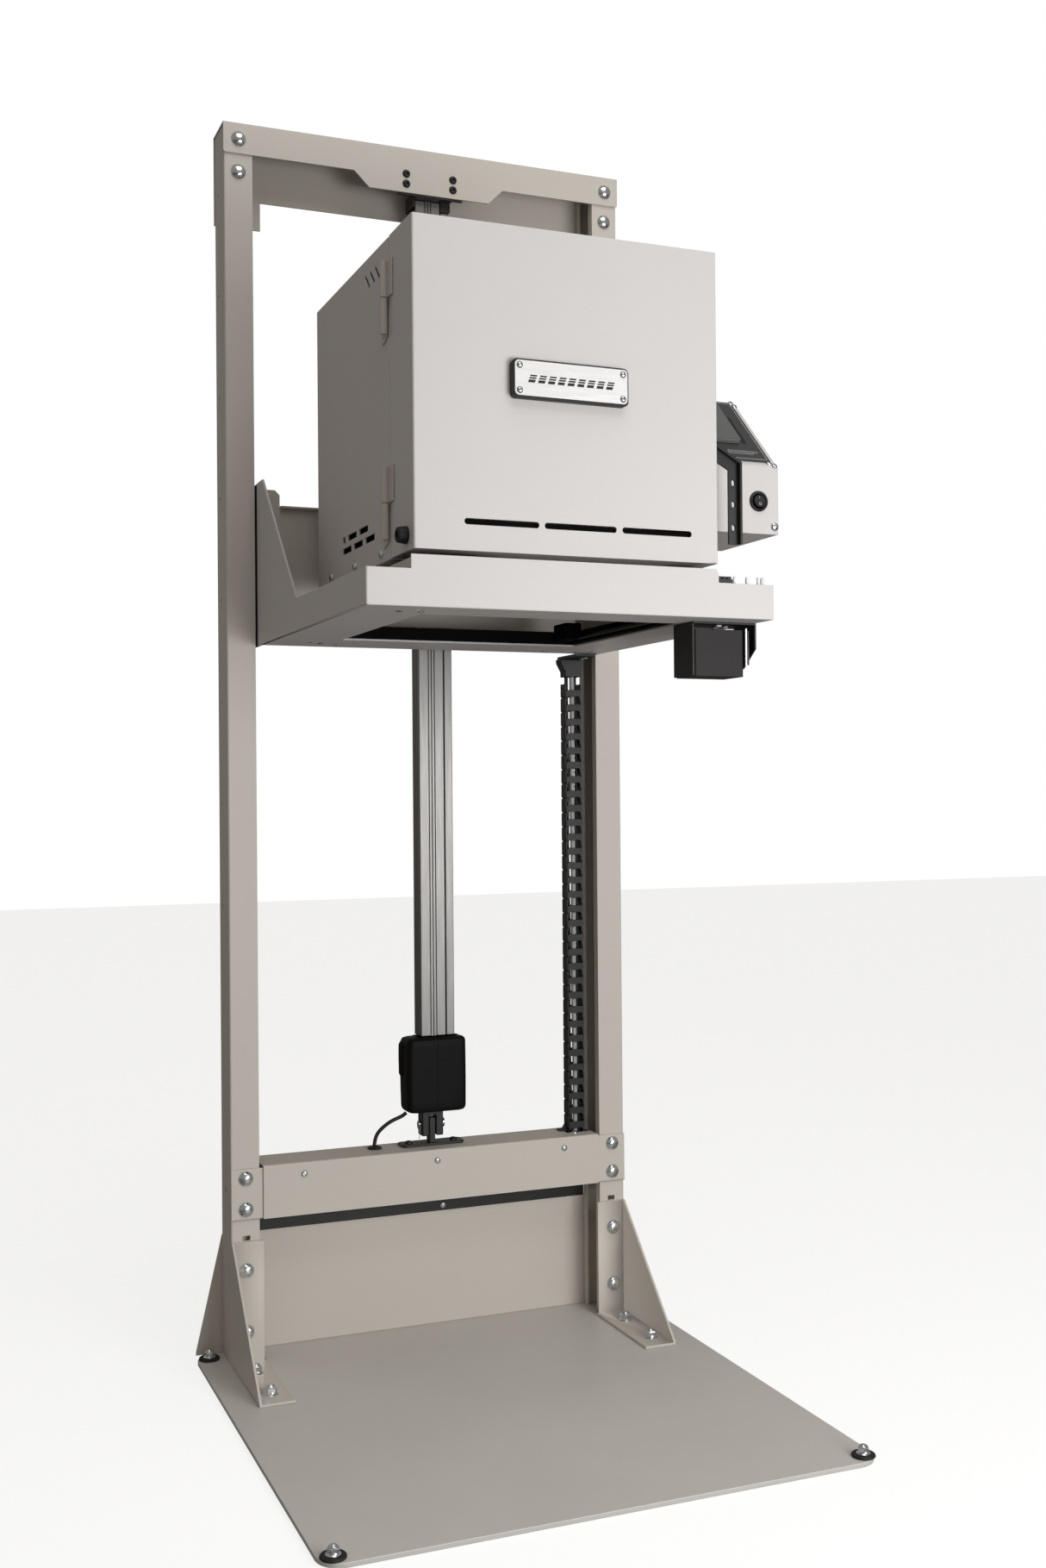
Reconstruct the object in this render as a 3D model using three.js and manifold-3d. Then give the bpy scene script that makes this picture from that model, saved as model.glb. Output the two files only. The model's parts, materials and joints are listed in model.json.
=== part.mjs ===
// Bench heat-treating oven on a motor-driven vertical lift.
// Millimetres, +X right, +Y back, +Z up, origin at the centre of the base plate's underside.
import * as THREE from "three";
import { mergeVertices } from "three/addons/utils/BufferGeometryUtils.js";
import Module from "manifold-3d";

const wasm = await Module();
wasm.setup();

// ---- driving dimensions ----
const GAP = 0.3;
const BASE_W = 610;
const BASE_D = 610;
const BASE_T = 5;
const BASE_R = 26;

const FRAME_HALF = 269.3;
const UPRIGHT_W = 36;
const UPRIGHT_FRONT = 247;
const UPRIGHT_BACK = 302;
const UPRIGHT_T = 3;
const UPRIGHT_LIP = 12.5;
const UPRIGHT_TOP = 1545.5;
const SIDE_HOLE_PITCH = 128;
const SIDE_HOLE_COUNT = 10;
const SIDE_HOLE_FIRST = 316;

const BEAM_TOP = 1548.5;
const BEAM_FRONT_H = 38.5;
const BEAM_REAR_H = 76;
const BEAM_DROP = 19.5;
const BEAM_T = 2.5;

const CROSS_TOP = 250;
const CROSS_BOTTOM = 184;
const COVER_HALF = 229.4;
const SHEET = 2.5;

const GUSSET_H = 152;
const GUSSET_REACH = 146;
const GUSSET_FLANGE = 40.5;
const GUSSET_T = 3;

const PANEL_TOP = 154.5;
const WING_REACH = 303;
const FILLER_T = 2;

const COLUMN_X = 2;
const COLUMN_W = 34;
const COLUMN_FRONT = 260;
const COLUMN_BACK = 288;
const COLUMN_BOTTOM = 394.5;
const COLUMN_TOP = 1488;
const MOTOR_W = 82;
const MOTOR_FRONT = 246;
const MOTOR_BOTTOM = 297;
const MOTOR_TOP = 393.5;

const TRAY_HALF = 231;
const TRAY_FRONT = -222;
const TRAY_BACK = 231;
const TRAY_BOTTOM = 897;
const TRAY_RIM = 935;
const TRAY_LIP = 949.5;
const EAR_START = 53;
const EAR_FRONT = 216;
const EAR_TOP = 1100;
const SLIDE_FRONT = 246;

const ROLLER_R = 24.2;
const ROLLER_W = 14;
const ROLLER_Y = 274.5;
const ROLLER_Z = [926, 1070];

const OVEN_X = -3;
const OVEN_W = 347;
const OVEN_BOTTOM = 956.5;
const OVEN_TOP = 1295;
const OVEN_FRONT = -131;
const OVEN_BACK = 156;
const OVEN_T = 2;
const DOOR_FRONT = -208;
const DOOR_BACK = -132;
const CHAMBER_W = 222;
const CHAMBER_BOTTOM = 1018;
const CHAMBER_TOP = 1232;
const CHAMBER_BACK = 92;
const HINGE_X = -181.3;
const HINGE_Y = -129;
const HINGE_R = 4;

const BOX_RIGHT = 293;
const BOX_FRONT = -131;
const BOX_BACK = 2;
const BOX_BOTTOM = 1006.5;
const BOX_CREASE = 1085;
const BOX_TOP = 1180;
const BOX_SLOPE_BACK = -33;
const ROCKER_X = 266.5;
const ROCKER_Z = 1044;

const CHAIN_X = 211;
const CHAIN_Y = 280;
const CHAIN_W = 24;
const CHAIN_BOTTOM = 188;
const CHAIN_TOP = 893;
const CHAIN_PITCH = 19.4;

// ---- finishes ----
const PUTTY = { color: 0xcfc8be, roughness: 0.62, metalness: 0.0 };
const PUTTY_DARK = { color: 0xb8b0a5, roughness: 0.62, metalness: 0.0 };
const STEEL = { color: 0xa09c94, roughness: 0.5, metalness: 0.35 };
const ALU = { color: 0xc9c9c6, roughness: 0.38, metalness: 0.9 };
const ZINC = { color: 0xcfd0cf, roughness: 0.28, metalness: 1.0 };
const BLACK = { color: 0x222223, roughness: 0.5, metalness: 0.0 };
const RUBBER = { color: 0x141414, roughness: 0.85, metalness: 0.0 };
const GREY = { color: 0x4a4a48, roughness: 0.6, metalness: 0.0 };
const BRICK = { color: 0xe3d6bd, roughness: 0.95, metalness: 0.0 };
const WIRE = { color: 0x8d8378, roughness: 0.5, metalness: 0.8 };
const PLATE = { color: 0xe6e6e6, roughness: 0.25, metalness: 0.9 };

const group = new THREE.Group();
group.name = "lift_oven";

// ---- solid helpers ----
function solid(geometry) {
  const copy = geometry.clone();
  copy.deleteAttribute("normal");
  copy.deleteAttribute("uv");
  const welded = mergeVertices(copy, 1e-4);
  const mesh = new wasm.Mesh({
    numProp: 3,
    vertProperties: new Float32Array(welded.attributes.position.array),
    triVerts: new Uint32Array(welded.index.array),
  });
  return new wasm.Manifold(mesh);
}

function box(x0, x1, y0, y1, z0, z1) {
  const geometry = new THREE.BoxGeometry(x1 - x0, y1 - y0, z1 - z0);
  geometry.translate((x0 + x1) / 2, (y0 + y1) / 2, (z0 + z1) / 2);
  return solid(geometry);
}

function cylinder(axis, radius, from, to, a, b, sides = 24, endRadius = radius) {
  const geometry = new THREE.CylinderGeometry(endRadius, radius, to - from, sides);
  const middle = (from + to) / 2;
  if (axis === "x") {
    geometry.rotateZ(-Math.PI / 2);
    geometry.translate(middle, a, b);
  }
  if (axis === "y") {
    geometry.translate(a, middle, b);
  }
  if (axis === "z") {
    geometry.rotateX(Math.PI / 2);
    geometry.translate(a, b, middle);
  }
  return solid(geometry);
}

// a flat outline pushed along one axis: the outline's two numbers are the other two axes in order
function prism(axis, outline, from, to, curveSegments = 6) {
  let shape = outline;
  if (!(outline instanceof THREE.Shape)) {
    shape = new THREE.Shape(outline.map((p) => new THREE.Vector2(p[0], p[1])));
  }
  const settings = { depth: to - from, bevelEnabled: false, curveSegments };
  const geometry = new THREE.ExtrudeGeometry(shape, settings);
  if (axis === "z") {
    geometry.translate(0, 0, from);
  }
  if (axis === "x") {
    geometry.rotateX(Math.PI / 2);
    geometry.rotateZ(Math.PI / 2);
    geometry.translate(from, 0, 0);
  }
  if (axis === "y") {
    geometry.rotateX(Math.PI / 2);
    geometry.translate(0, to, 0);
  }
  return solid(geometry);
}

function rounded(x0, x1, y0, y1, r) {
  const shape = new THREE.Shape();
  shape.moveTo(x0 + r, y0);
  shape.lineTo(x1 - r, y0);
  shape.absarc(x1 - r, y0 + r, r, -Math.PI / 2, 0, false);
  shape.lineTo(x1, y1 - r);
  shape.absarc(x1 - r, y1 - r, r, 0, Math.PI / 2, false);
  shape.lineTo(x0 + r, y1);
  shape.absarc(x0 + r, y1 - r, r, Math.PI / 2, Math.PI, false);
  shape.lineTo(x0, y0 + r);
  shape.absarc(x0 + r, y0 + r, r, Math.PI, 1.5 * Math.PI, false);
  return shape;
}

function union(parts) {
  return parts.reduce((sum, part) => sum.add(part));
}

function cut(body, tools) {
  return tools.reduce((rest, tool) => rest.subtract(tool), body);
}

function tube(points, radius, sides = 8, steps = 48) {
  const path = new THREE.CatmullRomCurve3(points.map((p) => new THREE.Vector3(p[0], p[1], p[2])));
  const ring = new THREE.Shape();
  ring.absarc(0, 0, radius, 0, 2 * Math.PI, false);
  return solid(new THREE.ExtrudeGeometry(ring, { steps, extrudePath: path, curveSegments: sides / 2 }));
}

function put(name, body, finish) {
  const result = body.getMesh();
  const geometry = new THREE.BufferGeometry();
  const count = result.vertProperties.length / result.numProp;
  const positions = new Float32Array(count * 3);
  for (let i = 0; i < count; i += 1) {
    for (let k = 0; k < 3; k += 1) {
      positions[i * 3 + k] = result.vertProperties[i * result.numProp + k];
    }
  }
  geometry.setAttribute("position", new THREE.BufferAttribute(positions, 3));
  geometry.setIndex(new THREE.BufferAttribute(new Uint32Array(result.triVerts), 1));
  geometry.computeVertexNormals();
  const mesh = new THREE.Mesh(geometry, new THREE.MeshStandardMaterial(finish));
  mesh.name = name;
  group.add(mesh);
}

function mirrored(body) {
  return body.mirror([1, 0, 0]);
}

// ---- base plate and levelling pads ----
const STUD_X = 290;
const STUD_FRONT = -290;
const STUD_BACK = 284;
let base = prism("z", rounded(-BASE_W / 2, BASE_W / 2, -BASE_D / 2, BASE_D / 2, BASE_R), 0, BASE_T);
for (const sx of [-1, 1]) {
  for (const y of [STUD_FRONT, STUD_BACK]) {
    base = base.subtract(cylinder("z", 4.6, -1, BASE_T + 1, sx * STUD_X, y, 20));
  }
}
put("base_plate", base, STEEL);
for (const [sx, side] of [[-1, "left"], [1, "right"]]) {
  for (const [y, end] of [[STUD_FRONT, "front"], [STUD_BACK, "back"]]) {
    const pad = cylinder("z", 13.5, BASE_T + GAP, BASE_T + 6.5, sx * STUD_X, y, 28, 12.2);
    const bore = cylinder("z", 4.8, BASE_T - 1, BASE_T + 8, sx * STUD_X, y, 20);
    put(`level_pad_${end}_${side}`, pad.subtract(bore), RUBBER);
  }
}

// ---- uprights: lipped channels that open towards each other ----
function upright() {
  const out = -FRAME_HALF;
  const inn = out + UPRIGHT_W;
  const z0 = BASE_T + GAP;
  const z1 = UPRIGHT_TOP;
  const parts = [
    box(out, out + UPRIGHT_T, UPRIGHT_FRONT, UPRIGHT_BACK, z0, z1),
    box(out, inn, UPRIGHT_FRONT, UPRIGHT_FRONT + UPRIGHT_T, z0, z1),
    box(out, inn, UPRIGHT_BACK - UPRIGHT_T, UPRIGHT_BACK, z0, z1),
    box(inn - UPRIGHT_T, inn, UPRIGHT_FRONT, UPRIGHT_FRONT + UPRIGHT_LIP, z0, z1),
    box(inn - UPRIGHT_T, inn, UPRIGHT_BACK - UPRIGHT_LIP, UPRIGHT_BACK, z0, z1),
  ];
  const holes = [
    box(out + 14, out + 24, UPRIGHT_FRONT - 1, UPRIGHT_FRONT + 4, 158, 164),
    cylinder("x", 4, out - 1, out + 5, 277, 216, 14),
  ];
  for (let i = 0; i < SIDE_HOLE_COUNT; i += 1) {
    const z = SIDE_HOLE_FIRST + i * SIDE_HOLE_PITCH;
    holes.push(cylinder("x", 2.6, out - 1, out + 5, 283, z, 10));
  }
  return cut(union(parts), holes);
}
put("upright_left", upright(), PUTTY_DARK);
put("upright_right", mirrored(upright()), PUTTY_DARK);

// ---- top beam: an inverted channel over both uprights ----
const beamHalf = FRAME_HALF + 1;
const beamFront = UPRIGHT_FRONT - GAP - BEAM_T;
const beamBack = UPRIGHT_BACK + GAP + BEAM_T;
const beamLow = BEAM_TOP - BEAM_FRONT_H;
const frontFlange = new THREE.Shape();
frontFlange.moveTo(-beamHalf + 3, beamLow);
frontFlange.lineTo(-102, beamLow);
frontFlange.lineTo(-82, beamLow - BEAM_DROP);
frontFlange.lineTo(82, beamLow - BEAM_DROP);
frontFlange.lineTo(102, beamLow);
frontFlange.lineTo(beamHalf - 3, beamLow);
frontFlange.absarc(beamHalf - 3, beamLow + 3, 3, -Math.PI / 2, 0, false);
frontFlange.lineTo(beamHalf, BEAM_TOP);
frontFlange.lineTo(-beamHalf, BEAM_TOP);
frontFlange.lineTo(-beamHalf, beamLow + 3);
frontFlange.absarc(-beamHalf + 3, beamLow + 3, 3, Math.PI, 1.5 * Math.PI, false);
const rearLow = BEAM_TOP - BEAM_REAR_H;
const rearFlange = [
  [-beamHalf, rearLow - 36],
  [-211, rearLow - 36],
  [-211, rearLow],
  [211, rearLow],
  [211, rearLow - 36],
  [beamHalf, rearLow - 36],
  [beamHalf, BEAM_TOP],
  [-beamHalf, BEAM_TOP],
];
put(
  "top_beam",
  union([
    prism("y", frontFlange, beamFront, beamFront + BEAM_T),
    prism("y", rearFlange, beamBack - BEAM_T, beamBack),
    box(-beamHalf, beamHalf, beamFront, beamBack, BEAM_TOP - BEAM_T, BEAM_TOP),
  ]),
  PUTTY_DARK
);

// ---- lower crossbeam: open trough with end tabs, closed by a folded cover ----
const crossFront = UPRIGHT_FRONT - GAP - SHEET;
const innerHalf = FRAME_HALF - UPRIGHT_W - GAP;
put(
  "crossbeam_body",
  union([
    box(-FRAME_HALF, FRAME_HALF, crossFront, crossFront + SHEET, CROSS_BOTTOM, CROSS_TOP - SHEET - GAP),
    box(-innerHalf, innerHalf, crossFront, UPRIGHT_BACK, CROSS_BOTTOM, CROSS_BOTTOM + SHEET),
    box(-innerHalf, innerHalf, UPRIGHT_BACK - SHEET, UPRIGHT_BACK, CROSS_BOTTOM, CROSS_TOP - SHEET - GAP),
  ]),
  PUTTY_DARK
);
const coverFront = crossFront - GAP - SHEET;
put(
  "crossbeam_cover",
  cut(
    union([
      box(-COVER_HALF, COVER_HALF, coverFront, coverFront + SHEET, CROSS_BOTTOM, CROSS_TOP),
      box(-COVER_HALF, COVER_HALF, coverFront, UPRIGHT_BACK, CROSS_TOP - SHEET, CROSS_TOP),
    ]),
    [
      box(CHAIN_X - 17, CHAIN_X + 17, CHAIN_Y - 14, CHAIN_Y + 14, CROSS_TOP - 6, CROSS_TOP + 1),
      cylinder("z", 6.2, CROSS_TOP - 6, CROSS_TOP + 1, -74, 279, 20),
    ]
  ),
  PUTTY_DARK
);

// ---- gussets ----
function gusset() {
  const out = -FRAME_HALF;
  const back = UPRIGHT_FRONT - GAP;
  const low = BASE_T + GAP;
  const web = [
    [back, low],
    [back, low + GUSSET_H],
    [back - GUSSET_T, low + GUSSET_H],
    [back - GUSSET_REACH - GUSSET_T, low + GUSSET_T + 1],
    [back - GUSSET_REACH - GUSSET_T, low],
  ];
  return union([
    box(out, out + GUSSET_FLANGE, back - GUSSET_T, back, low, low + GUSSET_H),
    box(out, out + GUSSET_FLANGE + 2, back - GUSSET_REACH - GUSSET_T, back, low, low + GUSSET_T),
    prism("x", web, out, out + GUSSET_T),
  ]);
}
put("gusset_left", gusset(), PUTTY_DARK);
put("gusset_right", mirrored(gusset()), PUTTY_DARK);

// ---- back panel with spread wings, and the black strip above it ----
const panelFront = UPRIGHT_BACK + GAP;
const panelOutline = [
  [-WING_REACH, BASE_T + GAP],
  [WING_REACH, BASE_T + GAP],
  [WING_REACH, BASE_T + GAP + 4],
  [FRAME_HALF, PANEL_TOP],
  [-FRAME_HALF, PANEL_TOP],
  [-WING_REACH, BASE_T + GAP + 4],
];
put("back_panel", prism("y", panelOutline, panelFront, panelFront + 2), PUTTY_DARK);
put(
  "rear_filler",
  box(-innerHalf, innerHalf, UPRIGHT_BACK - FILLER_T, UPRIGHT_BACK, PANEL_TOP + GAP, CROSS_BOTTOM - GAP),
  BLACK
);

// ---- actuator: ribbed column, side rail, brackets and gearmotor ----
const colLeft = COLUMN_X - COLUMN_W / 2;
const colRight = COLUMN_X + COLUMN_W / 2;
const grooves = [];
for (const gx of [12.5, 16.5, 20.5]) {
  grooves.push(box(colLeft + gx, colLeft + gx + 1.3, COLUMN_FRONT - 1, COLUMN_FRONT + 1.8, 390, 1490));
}
for (const gy of [8, 14, 20]) {
  grooves.push(box(colLeft - 1, colLeft + 1.6, COLUMN_FRONT + gy, COLUMN_FRONT + gy + 1.6, 390, 1490));
}
put(
  "actuator_column",
  cut(box(colLeft, colRight, COLUMN_FRONT, COLUMN_BACK, COLUMN_BOTTOM, COLUMN_TOP), grooves),
  ALU
);
put(
  "actuator_rail",
  box(colRight + 1.2, colRight + 12.2, COLUMN_FRONT + 1, COLUMN_BACK - 4, COLUMN_BOTTOM, 1476),
  ALU
);
const bracketFront = UPRIGHT_FRONT - GAP + 0.6;
put(
  "top_bracket",
  union([
    box(-42, 46, bracketFront, bracketFront + 4, 1488 + GAP, 1520),
    box(colLeft - 4, colRight + 14, bracketFront, COLUMN_BACK, 1488 + GAP, 1497),
    box(colLeft - 4, colLeft - 0.5, COLUMN_FRONT - 4, COLUMN_BACK, 1478, 1497),
    box(colRight + 0.6, colRight + 14, COLUMN_FRONT - 1, COLUMN_BACK - 4, 1476 + GAP, 1497),
  ]),
  BLACK
);
const motorShape = rounded(COLUMN_X - MOTOR_W / 2, COLUMN_X + MOTOR_W / 2, MOTOR_FRONT, 286, 7);
const motorBulge = rounded(COLUMN_X - MOTOR_W / 2 - 2, COLUMN_X + MOTOR_W / 2 - 2, 256, 300, 12);
put(
  "gearmotor_housing",
  union([
    prism("z", motorShape, MOTOR_BOTTOM + 2, MOTOR_TOP - 2),
    prism("z", rounded(COLUMN_X - MOTOR_W / 2 + 2, COLUMN_X + MOTOR_W / 2 - 2, MOTOR_FRONT + 2, 284, 6),
      MOTOR_BOTTOM, MOTOR_TOP),
    prism("z", motorBulge, 350, MOTOR_TOP - 3),
    box(COLUMN_X - 1, COLUMN_X + 1, MOTOR_FRONT - 0.7, MOTOR_FRONT + 3, MOTOR_BOTTOM + 6, MOTOR_TOP - 8),
  ]),
  BLACK
);
const CLEVIS_X = 3;
const CLEVIS_Y = 278;
const PIN_Z = 277.5;
put(
  "clevis_fork",
  cut(box(CLEVIS_X - 14.5, CLEVIS_X + 14.5, CLEVIS_Y - 9, CLEVIS_Y + 9, 262, MOTOR_BOTTOM - GAP), [
    box(CLEVIS_X - 5, CLEVIS_X + 5, CLEVIS_Y - 12, CLEVIS_Y + 12, 255, 289),
    cylinder("x", 4.3, CLEVIS_X - 20, CLEVIS_X + 20, CLEVIS_Y, PIN_Z, 20),
  ]),
  BLACK
);
put(
  "clevis_pin",
  union([
    cylinder("x", 4, CLEVIS_X - 18, CLEVIS_X + 17, CLEVIS_Y, PIN_Z, 20),
    cylinder("x", 6.2, CLEVIS_X + 14.8, CLEVIS_X + 17.8, CLEVIS_Y, PIN_Z, 20),
  ]),
  ZINC
);
const footPlan = rounded(CLEVIS_X - 43, CLEVIS_X + 43, CLEVIS_Y - 13, CLEVIS_Y + 13, 6);
put(
  "clevis_foot",
  cut(
    union([
      prism("z", footPlan, CROSS_TOP + GAP, 253.4),
      box(CLEVIS_X - 3.8, CLEVIS_X + 3.8, CLEVIS_Y - 7.5, CLEVIS_Y + 7.5, 252, 286),
    ]),
    [cylinder("x", 4.3, CLEVIS_X - 20, CLEVIS_X + 20, CLEVIS_Y, PIN_Z, 20)]
  ),
  BLACK
);
put(
  "cable_grommet",
  cut(
    union([
      cylinder("z", 9.5, CROSS_TOP + GAP, CROSS_TOP + 3.3, -74, 279, 24, 7.5),
      cylinder("z", 5.9, CROSS_TOP - 4.5, CROSS_TOP + 2, -74, 279, 24),
    ]),
    [cylinder("z", 3.1, CROSS_TOP - 8, CROSS_TOP + 6, -74, 279, 16)]
  ),
  RUBBER
);
put(
  "motor_cable",
  tube(
    [
      [-32, 274, 294.4],
      [-38, 275, 290],
      [-54, 277, 283],
      [-68.5, 279, 271],
      [-74, 279, 257],
      [-74, 279, 236],
    ],
    2.5, 8, 30
  ),
  RUBBER
);

// ---- carriage tray ----
const trayT = 2.5;
const sideOutline = [
  [TRAY_FRONT, TRAY_BOTTOM],
  [SLIDE_FRONT - GAP, TRAY_BOTTOM],
  [SLIDE_FRONT - GAP, EAR_TOP],
  [EAR_FRONT, EAR_TOP],
  [EAR_START, TRAY_RIM],
  [TRAY_FRONT, TRAY_RIM],
];
const lipShape = new THREE.Shape();
lipShape.moveTo(-TRAY_HALF, TRAY_BOTTOM);
lipShape.lineTo(TRAY_HALF, TRAY_BOTTOM);
lipShape.lineTo(TRAY_HALF, TRAY_RIM);
lipShape.lineTo(163, TRAY_RIM);
lipShape.lineTo(163, TRAY_LIP - 7);
lipShape.absarc(156, TRAY_LIP - 7, 7, 0, Math.PI / 2, false);
lipShape.lineTo(-184, TRAY_LIP);
lipShape.lineTo(-184, TRAY_RIM);
lipShape.lineTo(-TRAY_HALF, TRAY_RIM);
const smallHoles = [];
for (const [hx, hy] of [[-182, -175], [-164, -190], [-184, 168], [-169, 181], [178, 200], [195, 182]]) {
  smallHoles.push(box(hx - 3.5, hx + 3.5, hy - 3.5, hy + 3.5, TRAY_BOTTOM - 1, TRAY_BOTTOM + 4));
}
put(
  "carriage_tray",
  cut(
    union([
      cut(box(-TRAY_HALF, TRAY_HALF, TRAY_FRONT, TRAY_BACK, TRAY_BOTTOM, TRAY_BOTTOM + trayT), [
        box(-153, 153, -156, 138, TRAY_BOTTOM - 1, TRAY_BOTTOM + 4),
      ]),
      prism("y", lipShape, TRAY_FRONT, TRAY_FRONT + trayT),
      prism("x", sideOutline, -TRAY_HALF, -TRAY_HALF + trayT),
      prism("x", sideOutline, TRAY_HALF - trayT, TRAY_HALF),
    ]),
    smallHoles
  ),
  PUTTY
);
const wallHalf = TRAY_HALF - trayT - GAP;
const wallOutline = [
  [-wallHalf, TRAY_BOTTOM + trayT + GAP],
  [wallHalf, TRAY_BOTTOM + trayT + GAP],
  [wallHalf, 1086],
  [wallHalf - 4, 1090],
  [212, 1090],
  [206, 1084],
  [206, 1070],
  [-206, 1070],
  [-206, 1084],
  [-212, 1090],
  [-wallHalf + 4, 1090],
  [-wallHalf, 1086],
];
put(
  "carriage_back_wall",
  union([
    prism("y", wallOutline, TRAY_BACK - trayT, TRAY_BACK),
    box(-206, 206, TRAY_BACK - 9, TRAY_BACK, 1067.5, 1070),
  ]),
  PUTTY_DARK
);

// ---- guide brackets with stub axles, and the rollers that run inside the uprights ----
function guideBracket() {
  const parts = [box(-TRAY_HALF - 0.6, -TRAY_HALF + 3.4, SLIDE_FRONT, 290, TRAY_BOTTOM, EAR_TOP - 1)];
  for (const z of ROLLER_Z) {
    parts.push(cylinder("x", 4, -262, -TRAY_HALF + 1, ROLLER_Y, z, 16));
    parts.push(cylinder("x", 6.5, -240.5, -TRAY_HALF + 1, ROLLER_Y, z, 16));
  }
  return union(parts);
}
put("guide_bracket_left", guideBracket(), BLACK);
put("guide_bracket_right", mirrored(guideBracket()), BLACK);
for (const [side, sign] of [["left", -1], ["right", 1]]) {
  for (const [level, z] of [["lower", ROLLER_Z[0]], ["upper", ROLLER_Z[1]]]) {
    const wheel = cut(
      union([
        cylinder("x", ROLLER_R, -256.5, -256.5 + ROLLER_W, ROLLER_Y, z, 28),
        cylinder("x", 7, -258, -241, ROLLER_Y, z, 20),
      ]),
      [cylinder("x", 4.3, -270, -230, ROLLER_Y, z, 16)]
    );
    put(`guide_roller_${level}_${side}`, sign < 0 ? wheel : mirrored(wheel), GREY);
  }
}
put(
  "actuator_slider",
  cut(
    union([
      box(COLUMN_X - 30, COLUMN_X + 30, TRAY_BACK + GAP, TRAY_BACK + 10, 904, 1050),
      box(COLUMN_X - 23, COLUMN_X + 23, TRAY_BACK + 9, COLUMN_FRONT - GAP, 904, 1010),
      box(colLeft - 6, colLeft - 0.6, COLUMN_FRONT - 4, COLUMN_BACK - 6, 910, 1004),
    ]),
    []
  ),
  GREY
);

// ---- riser under the oven ----
put(
  "oven_riser",
  union([
    box(OVEN_X - 175, OVEN_X - 172.5, TRAY_FRONT + trayT + GAP, 150, TRAY_BOTTOM + trayT + GAP, TRAY_LIP),
    box(OVEN_X + 163, OVEN_X + 165.5, TRAY_FRONT + trayT + GAP, 150, TRAY_BOTTOM + trayT + GAP, TRAY_LIP),
    box(OVEN_X - 175, OVEN_X + 165.5, -118, -60, TRAY_LIP - trayT, TRAY_LIP),
    box(OVEN_X - 175, OVEN_X + 165.5, 70, 128, TRAY_LIP - trayT, TRAY_LIP),
  ]),
  PUTTY_DARK
);

// ---- oven body ----
const ovenLeft = OVEN_X - OVEN_W / 2;
const ovenRight = OVEN_X + OVEN_W / 2;
const chLeft = OVEN_X - CHAMBER_W / 2;
const chRight = OVEN_X + CHAMBER_W / 2;
const shellHoles = [];
function sideSlot(y, z, length, height, tilt) {
  const geometry = new THREE.BoxGeometry(8, length, height);
  geometry.rotateX(tilt);
  geometry.translate(ovenLeft, y, z);
  return solid(geometry);
}
for (const y of [-55, -73, -91]) {
  shellHoles.push(sideSlot(y, 1269, 22, 4.5, Math.PI / 3.8));
}
for (const y of [11, -33]) {
  shellHoles.push(sideSlot(y, 1002, 34, 7, 0));
}
for (const y of [32, -12, -57]) {
  shellHoles.push(sideSlot(y, 989, 35, 7, 0));
}
shellHoles.push(sideSlot(44, 1002, 10, 7, 0));
put(
  "oven_shell",
  cut(
    union([
      cut(box(ovenLeft, ovenRight, OVEN_FRONT, OVEN_BACK, OVEN_BOTTOM, OVEN_TOP), [
        box(ovenLeft + OVEN_T, ovenRight - OVEN_T, OVEN_FRONT - 1, OVEN_BACK - OVEN_T,
          OVEN_BOTTOM + OVEN_T, OVEN_TOP - OVEN_T),
      ]),
      cut(box(ovenLeft, ovenRight, OVEN_FRONT, OVEN_FRONT + OVEN_T, OVEN_BOTTOM, OVEN_TOP), [
        box(chLeft - 12, chRight + 12, OVEN_FRONT - 1, OVEN_FRONT + 4,
          CHAMBER_BOTTOM - 12, CHAMBER_TOP + 12),
      ]),
    ]),
    shellHoles
  ),
  PUTTY
);
const liningLeft = ovenLeft + OVEN_T + 10;
const liningRight = ovenRight - OVEN_T - 10;
put(
  "oven_lining",
  cut(
    box(liningLeft, liningRight, OVEN_FRONT + OVEN_T + GAP, OVEN_BACK - OVEN_T - 8,
      OVEN_BOTTOM + OVEN_T + GAP, OVEN_TOP - OVEN_T - 8),
    [
      box(chLeft, chRight, OVEN_FRONT, CHAMBER_BACK, CHAMBER_BOTTOM, CHAMBER_TOP),
      cylinder("y", 4, CHAMBER_BACK - 2, OVEN_BACK, OVEN_X, 1190, 16),
    ]
  ),
  BRICK
);
put("thermocouple", cylinder("y", 3.2, 40, OVEN_BACK - OVEN_T - GAP, OVEN_X, 1190, 14), WIRE);
function element(x) {
  const points = [];
  const rows = 5;
  const y0 = -104;
  const y1 = CHAMBER_BACK - 14;
  for (let i = 0; i < rows; i += 1) {
    const z = 1048 + i * 36;
    const forward = i % 2 === 0;
    const ya = forward ? y0 : y1;
    const yb = forward ? y1 : y0;
    points.push([x, ya, z]);
    points.push([x, (ya + yb) / 2, z]);
    points.push([x, yb, z]);
    if (i < rows - 1) {
      points.push([x, yb + (forward ? 6 : -6), z + 18]);
    }
  }
  return tube(points, 3, 6, 64);
}
put("element_left", element(chLeft + 4), WIRE);
put("element_right", element(chRight - 4), WIRE);

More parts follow.
